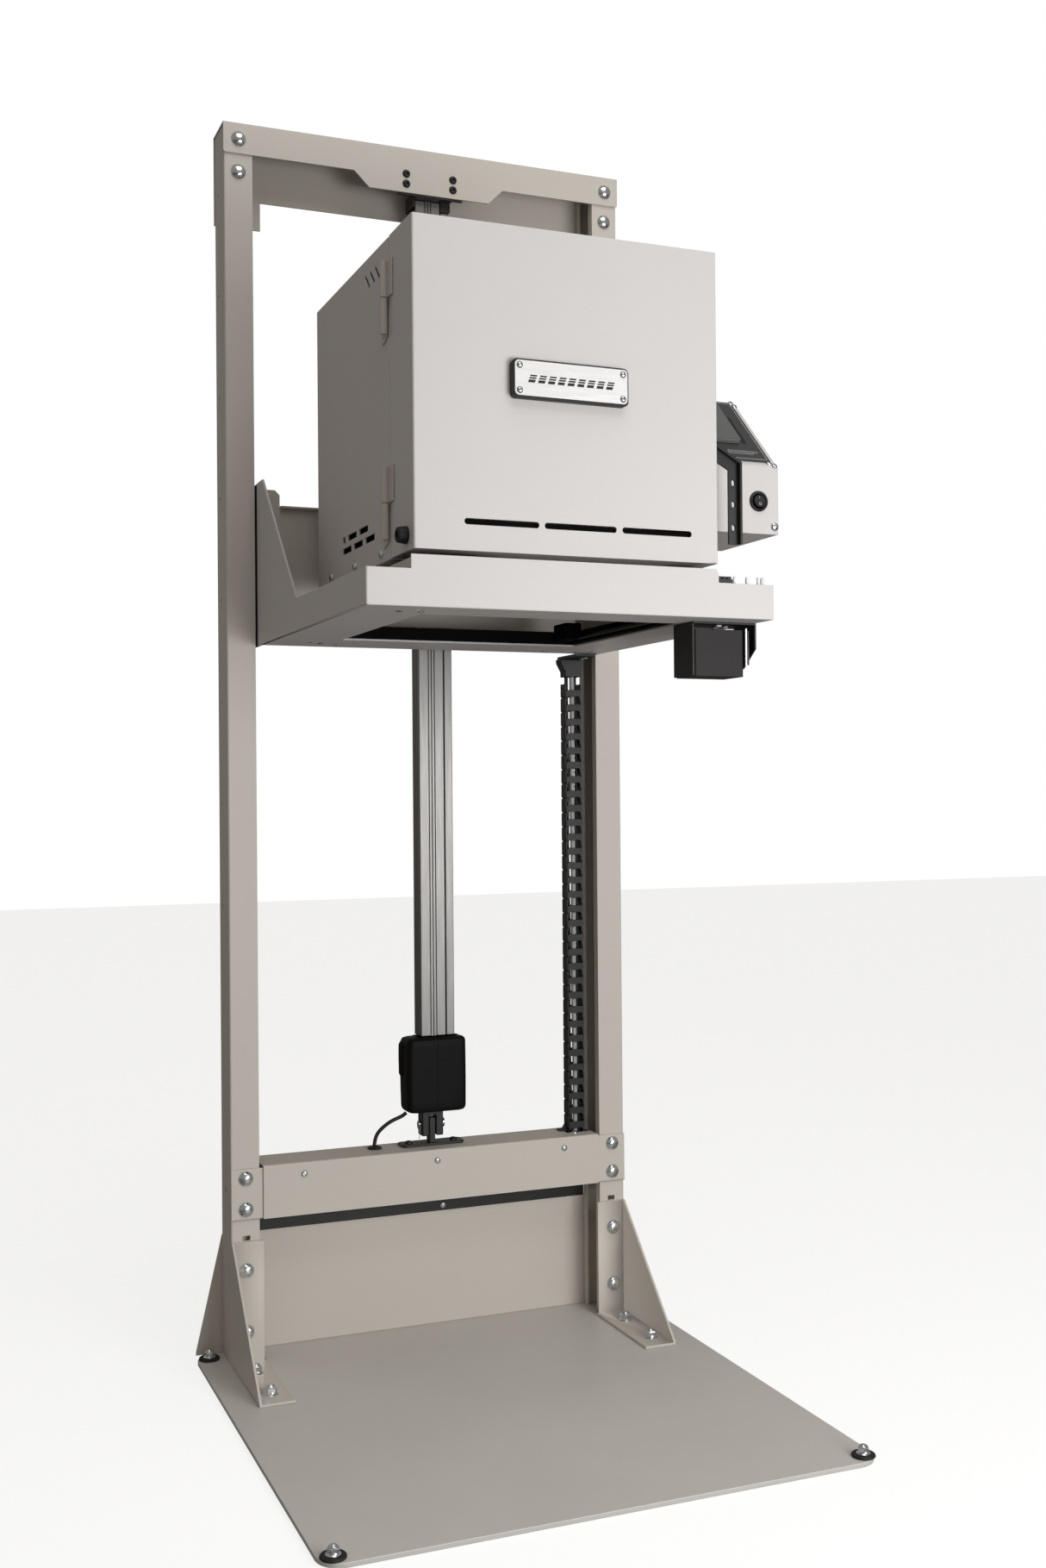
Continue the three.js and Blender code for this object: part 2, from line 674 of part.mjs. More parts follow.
// ---- hinges: fixed lower knuckles with the pin, lifted upper knuckles on the door ----
const leafOut = ovenLeft - GAP - 2;
const hingeSpans = [["upper", 1192, 1230, 1268.8], ["lower", 976.8, 1015, 1053.4]];
for (const [name, low, joint, high] of hingeSpans) {
  put(
    `hinge_fixed_${name}`,
    union([
      cylinder("z", HINGE_R, low, joint - 0.4, HINGE_X, HINGE_Y, 18),
      cylinder("z", 2, joint - 1, high - 6, HINGE_X, HINGE_Y, 12),
      box(leafOut, leafOut + 2, HINGE_Y + 1, HINGE_Y + 17, low, joint - 0.4),
    ]),
    PUTTY_DARK
  );
  put(
    `hinge_moving_${name}`,
    cut(
      union([
        cylinder("z", HINGE_R, joint + 0.4, high, HINGE_X, HINGE_Y, 18),
        box(leafOut, leafOut + 2, HINGE_Y - 17, HINGE_Y - 1, joint + 0.4, high),
      ]),
      [cylinder("z", 2.3, joint - 2, high - 5, HINGE_X, HINGE_Y, 12)]
    ),
    PUTTY_DARK
  );
}

// ---- door ----
const doorSlots = [];
for (const x of [-81, 7.6, 96.8]) {
  const slot = rounded(x - 41.3, x + 41.3, 984.2, 990.8, 3.2);
  doorSlots.push(prism("y", slot, DOOR_FRONT - 2, DOOR_FRONT + 5, 3));
}
const doorPlan = rounded(ovenLeft, ovenRight, DOOR_FRONT, DOOR_BACK, 2.5);
const doorOuter = prism("z", doorPlan, OVEN_BOTTOM + 1, OVEN_TOP, 3);
put(
  "door_shell",
  cut(doorOuter, [
    box(ovenLeft + 2, ovenRight - 2, DOOR_FRONT + 2, DOOR_BACK - 2, OVEN_BOTTOM + 3, OVEN_TOP - 2),
    box(chLeft - 16, chRight + 16, DOOR_BACK - 6, DOOR_BACK + 4, CHAMBER_BOTTOM - 16, CHAMBER_TOP + 16),
    ...doorSlots,
  ]),
  PUTTY
);
const plugFar = DOOR_BACK + 13;
put(
  "door_plug",
  union([
    box(chLeft - 14, chRight + 14, DOOR_FRONT + 24, DOOR_BACK, CHAMBER_BOTTOM - 14, CHAMBER_TOP + 14),
    box(chLeft + 5, chRight - 5, DOOR_BACK - 1, plugFar, CHAMBER_BOTTOM + 5, CHAMBER_TOP - 5),
  ]),
  BRICK
);
const plateX = -5.9;
const plateZ = 1136.4;
put(
  "name_block",
  prism("y", rounded(plateX - 66, plateX + 66, plateZ - 20.2, plateZ + 20.2, 6),
    DOOR_FRONT - GAP - 8, DOOR_FRONT - GAP),
  BLACK
);
put(
  "name_plate",
  prism("y", rounded(plateX - 63.8, plateX + 63.8, plateZ - 18, plateZ + 18, 4.5),
    DOOR_FRONT - GAP - 10, DOOR_FRONT - 8.6),
  PLATE
);
const strapY = -168;
const strap = [
  [ovenRight + GAP, 1103],
  [ovenRight + GAP, 1088],
  [206.5, 1069],
  [206.5, 986.5],
  [218, 986.5],
  [218, 1076.3],
];
const rim = [
  [ovenRight + GAP, 1105.8],
  [ovenRight + GAP, 1102.8],
  [217.8, 1076.2],
  [217.8, 986.5],
  [220.6, 986.5],
  [220.6, 1078],
];
const handleHoles = [];
for (const z of [1055, 1031, 1005]) {
  handleHoles.push(prism("y", rounded(210.3, 214.6, z - 3.3, z + 3.3, 2), -180, -150, 3));
}
put(
  "door_handle",
  cut(
    union([
      prism("y", strap, strapY, strapY + 3),
      prism("y", rim, strapY - 6, strapY + 3),
      box(ovenRight + GAP, ovenRight + GAP + 3, strapY - 20, strapY + 24, 1086, 1106),
    ]),
    handleHoles
  ),
  BLACK
);
put(
  "door_bumper",
  cylinder("x", 7.8, ovenLeft - GAP - 10.5, ovenLeft - GAP, -185.2, 973.5, 24, 9.2),
  RUBBER
);

// ---- controller box on the oven's right side ----
const boxOutline = [
  [BOX_FRONT, BOX_BOTTOM],
  [BOX_BACK, BOX_BOTTOM],
  [BOX_BACK, BOX_TOP],
  [BOX_SLOPE_BACK, BOX_TOP],
  [BOX_FRONT, BOX_CREASE],
];
const boxInside = [
  [BOX_FRONT + 2, BOX_BOTTOM + 2],
  [BOX_BACK - 2, BOX_BOTTOM + 2],
  [BOX_BACK - 2, BOX_TOP - 2],
  [BOX_SLOPE_BACK + 1, BOX_TOP - 2],
  [BOX_FRONT + 2, BOX_CREASE - 1],
];
put(
  "controller_box",
  cut(prism("x", boxOutline, ovenRight + GAP, BOX_RIGHT), [
    prism("x", boxInside, ovenRight - 1, BOX_RIGHT - 2),
    cylinder("y", 10, BOX_FRONT - 2, BOX_FRONT + 22, ROCKER_X, ROCKER_Z, 28),
  ]),
  PUTTY
);
const slopeAngle = Math.atan2(BOX_TOP - BOX_CREASE, BOX_SLOPE_BACK - BOX_FRONT);
const slopeLength = Math.hypot(BOX_TOP - BOX_CREASE, BOX_SLOPE_BACK - BOX_FRONT);
function onSlope(x0, x1, s0, s1, r, lift, thick) {
  const geometry = new THREE.ExtrudeGeometry(rounded(x0, x1, s0, s1, r), {
    depth: thick, bevelEnabled: false, curveSegments: 4,
  });
  geometry.translate(0, 0, lift);
  geometry.rotateX(slopeAngle);
  geometry.translate(0, BOX_FRONT, BOX_CREASE);
  return solid(geometry);
}
put("controller_panel", onSlope(ovenRight + 8, BOX_RIGHT - 8, 7, slopeLength - 2, 3, GAP, 2.2), BLACK);
put("touch_screen", onSlope(ovenRight + 22, BOX_RIGHT - 34, 40, slopeLength - 12, 5, 2.8, 5), GREY);
put(
  "rocker_bezel",
  cut(
    union([
      cylinder("y", 11.9, BOX_FRONT - GAP - 2.4, BOX_FRONT - GAP, ROCKER_X, ROCKER_Z, 28),
      cylinder("y", 9.6, BOX_FRONT - 2, BOX_FRONT + 18, ROCKER_X, ROCKER_Z, 28),
    ]),
    [cylinder("y", 8.4, BOX_FRONT - 8, BOX_FRONT + 14, ROCKER_X, ROCKER_Z, 28)]
  ),
  BLACK
);
const rockerOutline = [
  [BOX_FRONT + 2, ROCKER_Z - 7.6],
  [BOX_FRONT + 2, ROCKER_Z + 7.6],
  [BOX_FRONT - 2.4, ROCKER_Z + 7.4],
  [BOX_FRONT - 3.0, ROCKER_Z],
  [BOX_FRONT - 4.8, ROCKER_Z - 6.8],
];
put(
  "rocker_button",
  prism("x", rockerOutline, ROCKER_X - 7.6, ROCKER_X + 7.6)
    .intersect(cylinder("y", 7, BOX_FRONT - 10, BOX_FRONT + 6, ROCKER_X, ROCKER_Z, 28)),
  BLACK
);

// ---- drive control under the tray's right side ----
const driveTop = TRAY_BOTTOM - GAP;
const rightCheek = [
  [-187, driveTop],
  [-187, 868.5],
  [-160, 848],
  [-140, 848],
  [-140, driveTop],
];
put(
  "drive_bracket",
  union([
    box(150.5, 152.3, -184.5, -140, 838, driveTop),
    prism("x", rightCheek, 227, 229),
    box(150.5, 229, -187, -140, driveTop - 2, driveTop),
  ]),
  BLACK
);
put("drive_box", prism("z", rounded(152.6, 214.2, -185, -140, 3), 837.3, 889, 3), GREY);
const trayTop = TRAY_BOTTOM + trayT + GAP;
put("terminal_block", box(164, 183, -217, -190, trayTop, 943), BLACK);
const studs = [box(184.5, 224, -218.8, -209, trayTop, trayTop + 1.6)];
for (const [x, r] of [[186.3, 1.5], [202, 1.9], [215.8, 1.5], [221.2, 2.4]]) {
  studs.push(cylinder("z", r, trayTop + 0.5, 944, x, -214, 12));
}
put("stud_plate", union(studs), ZINC);

// ---- drag chain between the carriage and the crossbeam ----
const chainParts = [
  box(CHAIN_X - CHAIN_W / 2, CHAIN_X - CHAIN_W / 2 + 3, CHAIN_Y - 9, CHAIN_Y + 9, CHAIN_BOTTOM, CHAIN_TOP),
  box(CHAIN_X + CHAIN_W / 2 - 3, CHAIN_X + CHAIN_W / 2, CHAIN_Y - 9, CHAIN_Y + 9, CHAIN_BOTTOM, CHAIN_TOP),
];
for (let z = CHAIN_BOTTOM + 5; z < CHAIN_TOP - 8; z += CHAIN_PITCH) {
  const half = CHAIN_W / 2 - 1;
  chainParts.push(box(CHAIN_X - half, CHAIN_X + half, CHAIN_Y - 8, CHAIN_Y + 8, z, z + 6));
}
put("drag_chain", union(chainParts), BLACK);
const holderFront = TRAY_BACK + GAP;
put(
  "chain_bracket",
  union([
    box(CHAIN_X - 15, CHAIN_X + 15, holderFront, CHAIN_Y + 11, CHAIN_TOP + 0.5, TRAY_BOTTOM),
    box(CHAIN_X - 15, CHAIN_X + 15, holderFront, holderFront + 2.5, CHAIN_TOP + 0.5, TRAY_BOTTOM + 28),
  ]),
  BLACK
);

export default group;
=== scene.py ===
"""Looks for the bench oven on its motor-driven lift. Lengths are millimetres until a mesh is finished."""
import json
import math

import bmesh
import bpy
from mathutils import Matrix, Vector, noise

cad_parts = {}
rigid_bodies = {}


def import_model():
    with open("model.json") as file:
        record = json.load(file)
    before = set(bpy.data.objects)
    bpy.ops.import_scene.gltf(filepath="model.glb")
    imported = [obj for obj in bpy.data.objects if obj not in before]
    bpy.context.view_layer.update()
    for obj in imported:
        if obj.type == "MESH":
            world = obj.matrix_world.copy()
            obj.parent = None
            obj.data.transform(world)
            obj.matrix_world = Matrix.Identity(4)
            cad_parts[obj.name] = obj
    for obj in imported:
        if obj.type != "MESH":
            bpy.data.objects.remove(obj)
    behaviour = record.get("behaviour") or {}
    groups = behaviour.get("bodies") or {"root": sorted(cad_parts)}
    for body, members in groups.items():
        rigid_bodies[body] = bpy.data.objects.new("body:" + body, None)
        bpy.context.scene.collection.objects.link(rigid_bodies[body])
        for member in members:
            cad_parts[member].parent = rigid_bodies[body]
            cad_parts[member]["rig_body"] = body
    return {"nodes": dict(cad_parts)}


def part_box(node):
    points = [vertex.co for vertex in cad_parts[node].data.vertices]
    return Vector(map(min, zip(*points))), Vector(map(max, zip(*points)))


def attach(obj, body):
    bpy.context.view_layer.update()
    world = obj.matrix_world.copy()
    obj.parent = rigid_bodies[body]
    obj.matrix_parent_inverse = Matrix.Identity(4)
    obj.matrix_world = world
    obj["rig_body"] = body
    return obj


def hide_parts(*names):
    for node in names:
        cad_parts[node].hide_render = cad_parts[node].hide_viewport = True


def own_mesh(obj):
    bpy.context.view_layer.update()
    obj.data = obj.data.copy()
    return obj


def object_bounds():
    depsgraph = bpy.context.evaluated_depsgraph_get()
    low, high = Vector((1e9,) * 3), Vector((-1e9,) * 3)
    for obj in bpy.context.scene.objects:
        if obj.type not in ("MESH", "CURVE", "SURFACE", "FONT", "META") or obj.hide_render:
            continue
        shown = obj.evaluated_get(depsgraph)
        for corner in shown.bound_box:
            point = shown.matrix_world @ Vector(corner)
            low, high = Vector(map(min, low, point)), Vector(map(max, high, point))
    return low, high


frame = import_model()
cad_low, cad_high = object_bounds()
NODES = frame["nodes"]
scene = bpy.context.scene
MM = 0.001
FRONT, DOWN, LEFT, RIGHT = (0, -1, 0), (0, 0, -1), (-1, 0, 0), (1, 0, 0)
# places for add_prism: an (x, z) outline pushed along Y, and a (y, z) outline pushed along X
ALONG_Y = Matrix(((1, 0, 0, 0), (0, 0, 1, 0), (0, 1, 0, 0), (0, 0, 0, 1)))
ALONG_X = Matrix(((0, 0, 1, 0), (1, 0, 0, 0), (0, 1, 0, 0), (0, 0, 0, 1)))


def millimetres(node):
    low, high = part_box(node)
    return low / MM, high / MM


# ---- camera ----
camera_data = bpy.data.cameras.new("camera")
camera_data.sensor_fit = "VERTICAL"
camera_data.sensor_height = 36.0
camera_data.lens = 37.264
camera_data.clip_start = 0.05
camera = bpy.data.objects.new("camera", camera_data)
scene.collection.objects.link(camera)
right = Vector((0.92556, -0.37852, -0.00805))
up = Vector((0.00517, -0.00863, 0.99995))
back = right.cross(up).normalized()
up = back.cross(right).normalized()
camera.matrix_world = Matrix.Translation((-0.6921, -1.7524, 0.7101)) @ Matrix(
    (
        (right.x, up.x, back.x, 0),
        (right.y, up.y, back.y, 0),
        (right.z, up.z, back.z, 0),
        (0, 0, 0, 1),
    )
)
scene.camera = camera


# ---- materials ----
def finish(
    name,
    colour,
    rough,
    metallic=0.0,
    grain=900.0,
    bump=0.2,
    depth=0.00008,
    spread=0.06,
    vary=0.03,
    speck=0.0,
    stretch=(1, 1, 1),
    specular=0.4,
    coat=0.0,
    cloud=6.0,
    detail=3.0,
):
    """A node material: cloudy colour, fine speckle, uneven gloss and a raised grain."""
    material = bpy.data.materials.new(name)
    material.use_nodes = True
    tree = material.node_tree
    shader = tree.nodes["Principled BSDF"]
    shader.inputs["Metallic"].default_value = metallic
    shader.inputs["Specular IOR Level"].default_value = specular
    shader.inputs["Coat Weight"].default_value = coat

    def node(kind, **values):
        made = tree.nodes.new(kind)
        for key, value in values.items():
            made.inputs[key].default_value = value
        return made

    place = node("ShaderNodeTexCoord")
    mapping = node("ShaderNodeMapping")
    mapping.inputs["Scale"].default_value = stretch
    tree.links.new(place.outputs["Object"], mapping.inputs["Vector"])
    clouds = node("ShaderNodeTexNoise", Scale=cloud, Detail=4.0, Roughness=0.6)
    fine = node("ShaderNodeTexNoise", Scale=grain, Detail=detail, Roughness=0.6)
    tree.links.new(place.outputs["Object"], clouds.inputs["Vector"])
    tree.links.new(mapping.outputs["Vector"], fine.inputs["Vector"])

    ramp = node("ShaderNodeMapRange")
    ramp.inputs["From Min"].default_value = 0.3
    ramp.inputs["From Max"].default_value = 0.7
    ramp.inputs["To Min"].default_value = 1 - vary
    ramp.inputs["To Max"].default_value = 1 + vary
    tree.links.new(clouds.outputs["Fac"], ramp.inputs["Value"])
    dots = node("ShaderNodeMapRange")
    dots.inputs["From Min"].default_value = 0.3
    dots.inputs["From Max"].default_value = 0.7
    dots.inputs["To Min"].default_value = 1 - speck
    dots.inputs["To Max"].default_value = 1 + speck
    tree.links.new(fine.outputs["Fac"], dots.inputs["Value"])
    both = node("ShaderNodeMath")
    both.operation = "MULTIPLY"
    tree.links.new(ramp.outputs["Result"], both.inputs[0])
    tree.links.new(dots.outputs["Result"], both.inputs[1])
    tint = node("ShaderNodeVectorMath")
    tint.operation = "SCALE"
    tint.inputs[0].default_value = colour
    tree.links.new(both.outputs["Value"], tint.inputs["Scale"])
    tree.links.new(tint.outputs["Vector"], shader.inputs["Base Color"])

    gloss = node("ShaderNodeMapRange")
    gloss.inputs["From Min"].default_value = 0.3
    gloss.inputs["From Max"].default_value = 0.7
    gloss.inputs["To Min"].default_value = max(0.03, rough - spread)
    gloss.inputs["To Max"].default_value = min(1.0, rough + spread)
    tree.links.new(fine.outputs["Fac"], gloss.inputs["Value"])
    tree.links.new(gloss.outputs["Result"], shader.inputs["Roughness"])

    relief = node("ShaderNodeBump", Strength=bump, Distance=depth)
    tree.links.new(fine.outputs["Fac"], relief.inputs["Height"])
    tree.links.new(relief.outputs["Normal"], shader.inputs["Normal"])
    return material


PUTTY = (0.585, 0.545, 0.495)
MAT = {
    "oven_paint": finish("oven_paint", (0.62, 0.598, 0.588), 0.50, grain=1100, bump=0.5, depth=0.00016,
                         vary=0.012, speck=0.03, detail=2.0, cloud=4),
    "frame_paint": finish("frame_paint", PUTTY, 0.48, grain=1300, bump=0.35, depth=0.0001,
                          vary=0.015, speck=0.015, detail=2.0, cloud=3),
    "base_steel": finish("base_steel", (0.60, 0.580, 0.545), 0.42, grain=1300, bump=0.3, depth=0.0001,
                         vary=0.03, speck=0.02, detail=2.0, cloud=5),
    "column_aluminium": finish("column_aluminium", (0.20, 0.195, 0.19), 0.42, metallic=0.85, grain=700,
                               bump=0.12, depth=0.00004, vary=0.02, speck=0.05, stretch=(1, 1, 0.02)),
    "zinc_plate": finish("zinc_plate", (0.66, 0.69, 0.71), 0.20, metallic=1.0, grain=500, bump=0.1,
                         depth=0.00004, vary=0.10, speck=0.04, cloud=260, spread=0.09),
    "black_paint": finish("black_paint", (0.011, 0.0105, 0.0105), 0.42, grain=1200, bump=0.3, depth=0.00008,
                          vary=0.15, speck=0.1),
    # near-black: the black members under the oven, and painted shade on the sheets behind the vents and the
    # door's slots
    "black_and_painted_shade": finish("black_and_painted_shade", (0.004, 0.004, 0.004), 0.9, specular=0.05, grain=900, bump=0.2,
                        vary=0.1),
    "black_plastic": finish("black_plastic", (0.013, 0.013, 0.0135), 0.5, grain=900, bump=0.35,
                            depth=0.0001, vary=0.12, speck=0.15),
    "black_rubber": finish("black_rubber", (0.010, 0.010, 0.010), 0.62, grain=1400, bump=0.35,
                           depth=0.0001, vary=0.2, speck=0.2),
    "cable_jacket": finish("cable_jacket", (0.009, 0.009, 0.009), 0.4, grain=1500, bump=0.2,
                           depth=0.00005, vary=0.2, speck=0.1),
    "dark_grey_plastic": finish("dark_grey_plastic", (0.022, 0.019, 0.0195), 0.56, specular=0.22,
                                grain=900, bump=0.4, depth=0.00012, vary=0.1, speck=0.2),
    "firebrick": finish("firebrick", (0.74, 0.67, 0.55), 0.95, grain=320, bump=0.9, depth=0.0006,
                        vary=0.06, speck=0.08, specular=0.1, detail=6.0, cloud=30),
    "heating_alloy": finish("heating_alloy", (0.22, 0.19, 0.17), 0.5, metallic=0.85, grain=900, bump=0.3,
                            vary=0.25, speck=0.2, cloud=60),
    # pale anodised metal; on the drive bracket screws the same finish is painted light
    "anodised_plate": finish("anodised_plate", (0.83, 0.83, 0.835), 0.34, metallic=0.25, grain=900,
                             bump=0.12, depth=0.00003, vary=0.02, speck=0.04, stretch=(0.03, 1, 1)),
    "housing_plastic": finish("housing_plastic", (0.005, 0.005, 0.005), 0.5, specular=0.09, grain=420,
                              bump=0.45, depth=0.0003, vary=0.15, speck=0.12, detail=5.0),
    "screen_film": finish("screen_film", (0.115, 0.118, 0.115), 0.42, grain=650, bump=0.5, depth=0.0001,
                          vary=0.05, speck=0.22),
    "panel_film": finish("panel_film", (0.043, 0.044, 0.046), 0.36, grain=1200, bump=0.15,
                         depth=0.00005, vary=0.05, speck=0.08),
    "print_white": finish("print_white", (0.42, 0.42, 0.42), 0.5, grain=900, bump=0.05, vary=0.05,
                          speck=0.05),
    "grey_jacket": finish("grey_jacket", (0.40, 0.39, 0.38), 0.5, grain=900, bump=0.2, depth=0.00008,
                          vary=0.06, speck=0.05),
}


# ---- mesh helpers ----
def grown(bm, build):
    """The vertices that build() adds to bm."""
    before = set(bm.verts)
    build()
    return [v for v in bm.verts if v not in before]


def facing(x, y, z, direction=(0, 0, 1), turn=0.0):
    """A place whose +Z points along direction."""
    quat = Vector(direction).to_track_quat("Z", "Y").to_matrix().to_4x4()
    return Matrix.Translation((x, y, z)) @ quat @ Matrix.Rotation(turn, 4, "Z")


def add_box(bm, x0, x1, y0, y1, z0, z1, place=None):
    """A box between two corners."""
    corners = [(x, y, z) for z in (z0, z1) for y in (y0, y1) for x in (x0, x1)]
    made = [bm.verts.new(c) for c in corners]
    for quad in ((0, 2, 3, 1), (4, 5, 7, 6), (0, 1, 5, 4), (2, 6, 7, 3), (0, 4, 6, 2), (1, 3, 7, 5)):
        bm.faces.new([made[i] for i in quad])
    if place is not None:
        bmesh.ops.transform(bm, matrix=place, verts=made)
    return made


def add_lathe(bm, profile, sides=24, place=None):
    """Turns (radius, height) pairs round Z; a radius of 0 closes the end."""
    rings = []
    for radius, height in profile:
        if radius < 1e-6:
            rings.append([bm.verts.new((0, 0, height))])
            continue
        ring = []
        for i in range(sides):
            a = 2 * math.pi * i / sides
            ring.append(bm.verts.new((radius * math.cos(a), radius * math.sin(a), height)))
        rings.append(ring)
    for low, high in zip(rings, rings[1:]):
        for i in range(sides):
            j = (i + 1) % sides
            if len(low) == 1 and len(high) == 1:
                continue
            if len(low) == 1:
                bm.faces.new((low[0], high[i], high[j]))
            elif len(high) == 1:
                bm.faces.new((low[i], low[j], high[0]))
            else:
                bm.faces.new((low[i], low[j], high[j], high[i]))
    made = [v for ring in rings for v in ring]
    if place is not None:
        bmesh.ops.transform(bm, matrix=place, verts=made)
    return made


def add_prism(bm, outline, low, high, place=None):
    """Pushes a flat (x, y) outline from low to high along Z."""
    bottom = [bm.verts.new((x, y, low)) for x, y in outline]
    top = [bm.verts.new((x, y, high)) for x, y in outline]
    bm.faces.new(list(reversed(bottom)))
    bm.faces.new(top)
    count = len(outline)
    for i in range(count):
        j = (i + 1) % count
        bm.faces.new((bottom[i], bottom[j], top[j], top[i]))
    made = bottom + top
    if place is not None:
        bmesh.ops.transform(bm, matrix=place, verts=made)
    return made


def round_rect(x0, x1, y0, y1, r, steps=5):
    """An outline with corners of radius r."""
    points = []
    corners = ((x1 - r, y0 + r, -90), (x1 - r, y1 - r, 0), (x0 + r, y1 - r, 90), (x0 + r, y0 + r, 180))
    for cx, cy, start in corners:
        for i in range(steps + 1):
            a = math.radians(start + 90 * i / steps)
            points.append((cx + r * math.cos(a), cy + r * math.sin(a)))
    return points


def add_tube(bm, points, radius, sides=10):
    """A closed tube along points, without twist."""
    path = [Vector(p) for p in points]
    rings = []
    normal = None
    for i, p in enumerate(path):
        ahead = (path[min(i + 1, len(path) - 1)] - path[max(i - 1, 0)]).normalized()
        if normal is None:
            normal = ahead.orthogonal().normalized()
        normal = (normal - ahead * normal.dot(ahead)).normalized()
        side = ahead.cross(normal)
        ring = []
        for k in range(sides):
            a = 2 * math.pi * k / sides
            ring.append(bm.verts.new(p + normal * (radius * math.cos(a)) + side * (radius * math.sin(a))))
        rings.append(ring)
    for low, high in zip(rings, rings[1:]):
        for i in range(sides):
            j = (i + 1) % sides
            bm.faces.new((low[i], low[j], high[j], high[i]))
    bm.faces.new(list(reversed(rings[0])))
    bm.faces.new(rings[-1])


def smooth_path(points, count):
    """Catmull-Rom points through the given ones."""
    p = [Vector(q) for q in points]
    p = [2 * p[0] - p[1]] + p + [2 * p[-1] - p[-2]]
    spans = len(points) - 1
    made = []
    for i in range(count + 1):
        t = min(i * spans / count, spans - 1e-9)
        k = int(t)
        t -= k
        a, b, c, d = p[k], p[k + 1], p[k + 2], p[k + 3]
        square = 2 * a - 5 * b + 4 * c - d
        cube = 3 * b - a - 3 * c + d
        made.append(0.5 * (2 * b + (c - a) * t + square * t * t + cube * t**3))
    return made


def carve(base, tool):
    """base with tool cut out of it, as a mesh."""
    objects = []
    for bm in (base, tool):
        bmesh.ops.recalc_face_normals(bm, faces=bm.faces)
        mesh = bpy.data.meshes.new("part")
        bm.to_mesh(mesh)
        bm.free()
        made = bpy.data.objects.new("part", mesh)
        scene.collection.objects.link(made)
        objects.append(made)
    body, cutter = objects
    modifier = body.modifiers.new("cut", "BOOLEAN")
    modifier.operation = "DIFFERENCE"
    modifier.solver = "EXACT"
    modifier.object = cutter
    graph = bpy.context.evaluated_depsgraph_get()
    result = bpy.data.meshes.new_from_object(body.evaluated_get(graph))
    for made in objects:
        bpy.data.objects.remove(made)
    return result


def template(build):
    """A mesh that scatter() copies."""
    bm = bmesh.new()
    build(bm)
    bmesh.ops.recalc_face_normals(bm, faces=bm.faces)
    mesh = bpy.data.meshes.new("template")
    bm.to_mesh(mesh)
    bm.free()
    return mesh


def add_mesh(bm, mesh, place):
    """A copy of mesh in bm, moved to place."""
    made = grown(bm, lambda: bm.from_mesh(mesh))
    bmesh.ops.transform(bm, matrix=place, verts=made)


def piece(name, bm, material, body, bevel=0.0, angle=35, replaced=(), segments=2):
    """Finishes a mesh as a visible piece that rides on a body."""
    bmesh.ops.scale(bm, vec=(MM, MM, MM), verts=bm.verts)
    bmesh.ops.recalc_face_normals(bm, faces=bm.faces)
    mesh = bpy.data.meshes.new(name)
    bm.to_mesh(mesh)
    bm.free()
    mesh.materials.append(MAT[material])
    mesh.polygons.foreach_set("use_smooth", [True] * len(mesh.polygons))
    mesh.set_sharp_from_angle(angle=math.radians(angle))
    made = bpy.data.objects.new(name, mesh)
    scene.collection.objects.link(made)
    if bevel:
        modifier = made.modifiers.new("edges", "BEVEL")
        modifier.width = bevel * MM
        modifier.segments = segments
        modifier.limit_method = "ANGLE"
        modifier.angle_limit = math.radians(angle)
        modifier.harden_normals = True
        modifier.use_clamp_overlap = False
    if replaced:
        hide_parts(*replaced)
    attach(made, body)
    return made


def scatter(name, mesh, places, material, body, angle=35):
    """Copies of one small part, joined as one piece."""
    bm = bmesh.new()
    for place in places:
        add_mesh(bm, mesh, place)
    return piece(name, bm, material, body, angle=angle)


WELD = 2e-6
FLAT = math.radians(0.6)
SMOOTH = math.radians(28)
FOLD_SEGMENTS = 3


def refined(node, name, material, fold=1.9, edge=0.35, wide=7.0, angle=35, slotted=False):
    """A CAD solid with its folds rounded by fold and its cut edges eased by edge.

    An edge is a fold where both its faces are on average wider than wide. Flat faces are merged first, apart
    from a slotted part's front and back.
    """
    source = NODES[node]
    bm = bmesh.new()
    bm.from_mesh(source.data)
    bmesh.ops.remove_doubles(bm, verts=bm.verts, dist=WELD)
    bmesh.ops.scale(bm, vec=(1 / MM,) * 3, verts=bm.verts)
    bmesh.ops.recalc_face_normals(bm, faces=bm.faces)
    verts, edges = bm.verts, bm.edges
    if slotted:
        edges = [e for e in bm.edges if all(abs(f.normal.y) < 0.5 for f in e.link_faces)]
        verts = []
    bmesh.ops.dissolve_limit(bm, angle_limit=FLAT, verts=verts, edges=edges)
    bmesh.ops.recalc_face_normals(bm, faces=bm.faces)
    widths = {f: 2 * f.calc_area() / max(f.calc_perimeter(), 1e-9) for f in bm.faces}
    weight = bm.edges.layers.float.new("bevel_weight_edge")
    full = max(fold, edge)
    for e in bm.edges:
        if len(e.link_faces) != 2 or not e.is_convex:
            continue
        if e.calc_face_angle(0.0) < math.radians(angle):
            continue
        folded = all(widths[f] > wide for f in e.link_faces) and fold > 0
        e[weight] = (fold if folded else edge) / full
    bmesh.ops.scale(bm, vec=(MM,) * 3, verts=bm.verts)
    mesh = bpy.data.meshes.new(name)
    bm.to_mesh(mesh)
    bm.free()
    mesh.materials.append(MAT[material])
    mesh.polygons.foreach_set("use_smooth", [True] * len(mesh.polygons))
    mesh.set_sharp_from_angle(angle=SMOOTH)
    made = bpy.data.objects.new(name, mesh)
    scene.collection.objects.link(made)
    modifier = made.modifiers.new("folds", "BEVEL")
    modifier.width = full * MM
    modifier.segments = FOLD_SEGMENTS
    modifier.limit_method = "WEIGHT"
    modifier.use_clamp_overlap = False
    weighted = made.modifiers.new("even_shading", "WEIGHTED_NORMAL")
    weighted.weight = 100
    weighted.keep_sharp = True
    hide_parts(node)
    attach(made, source["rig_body"])
    return made


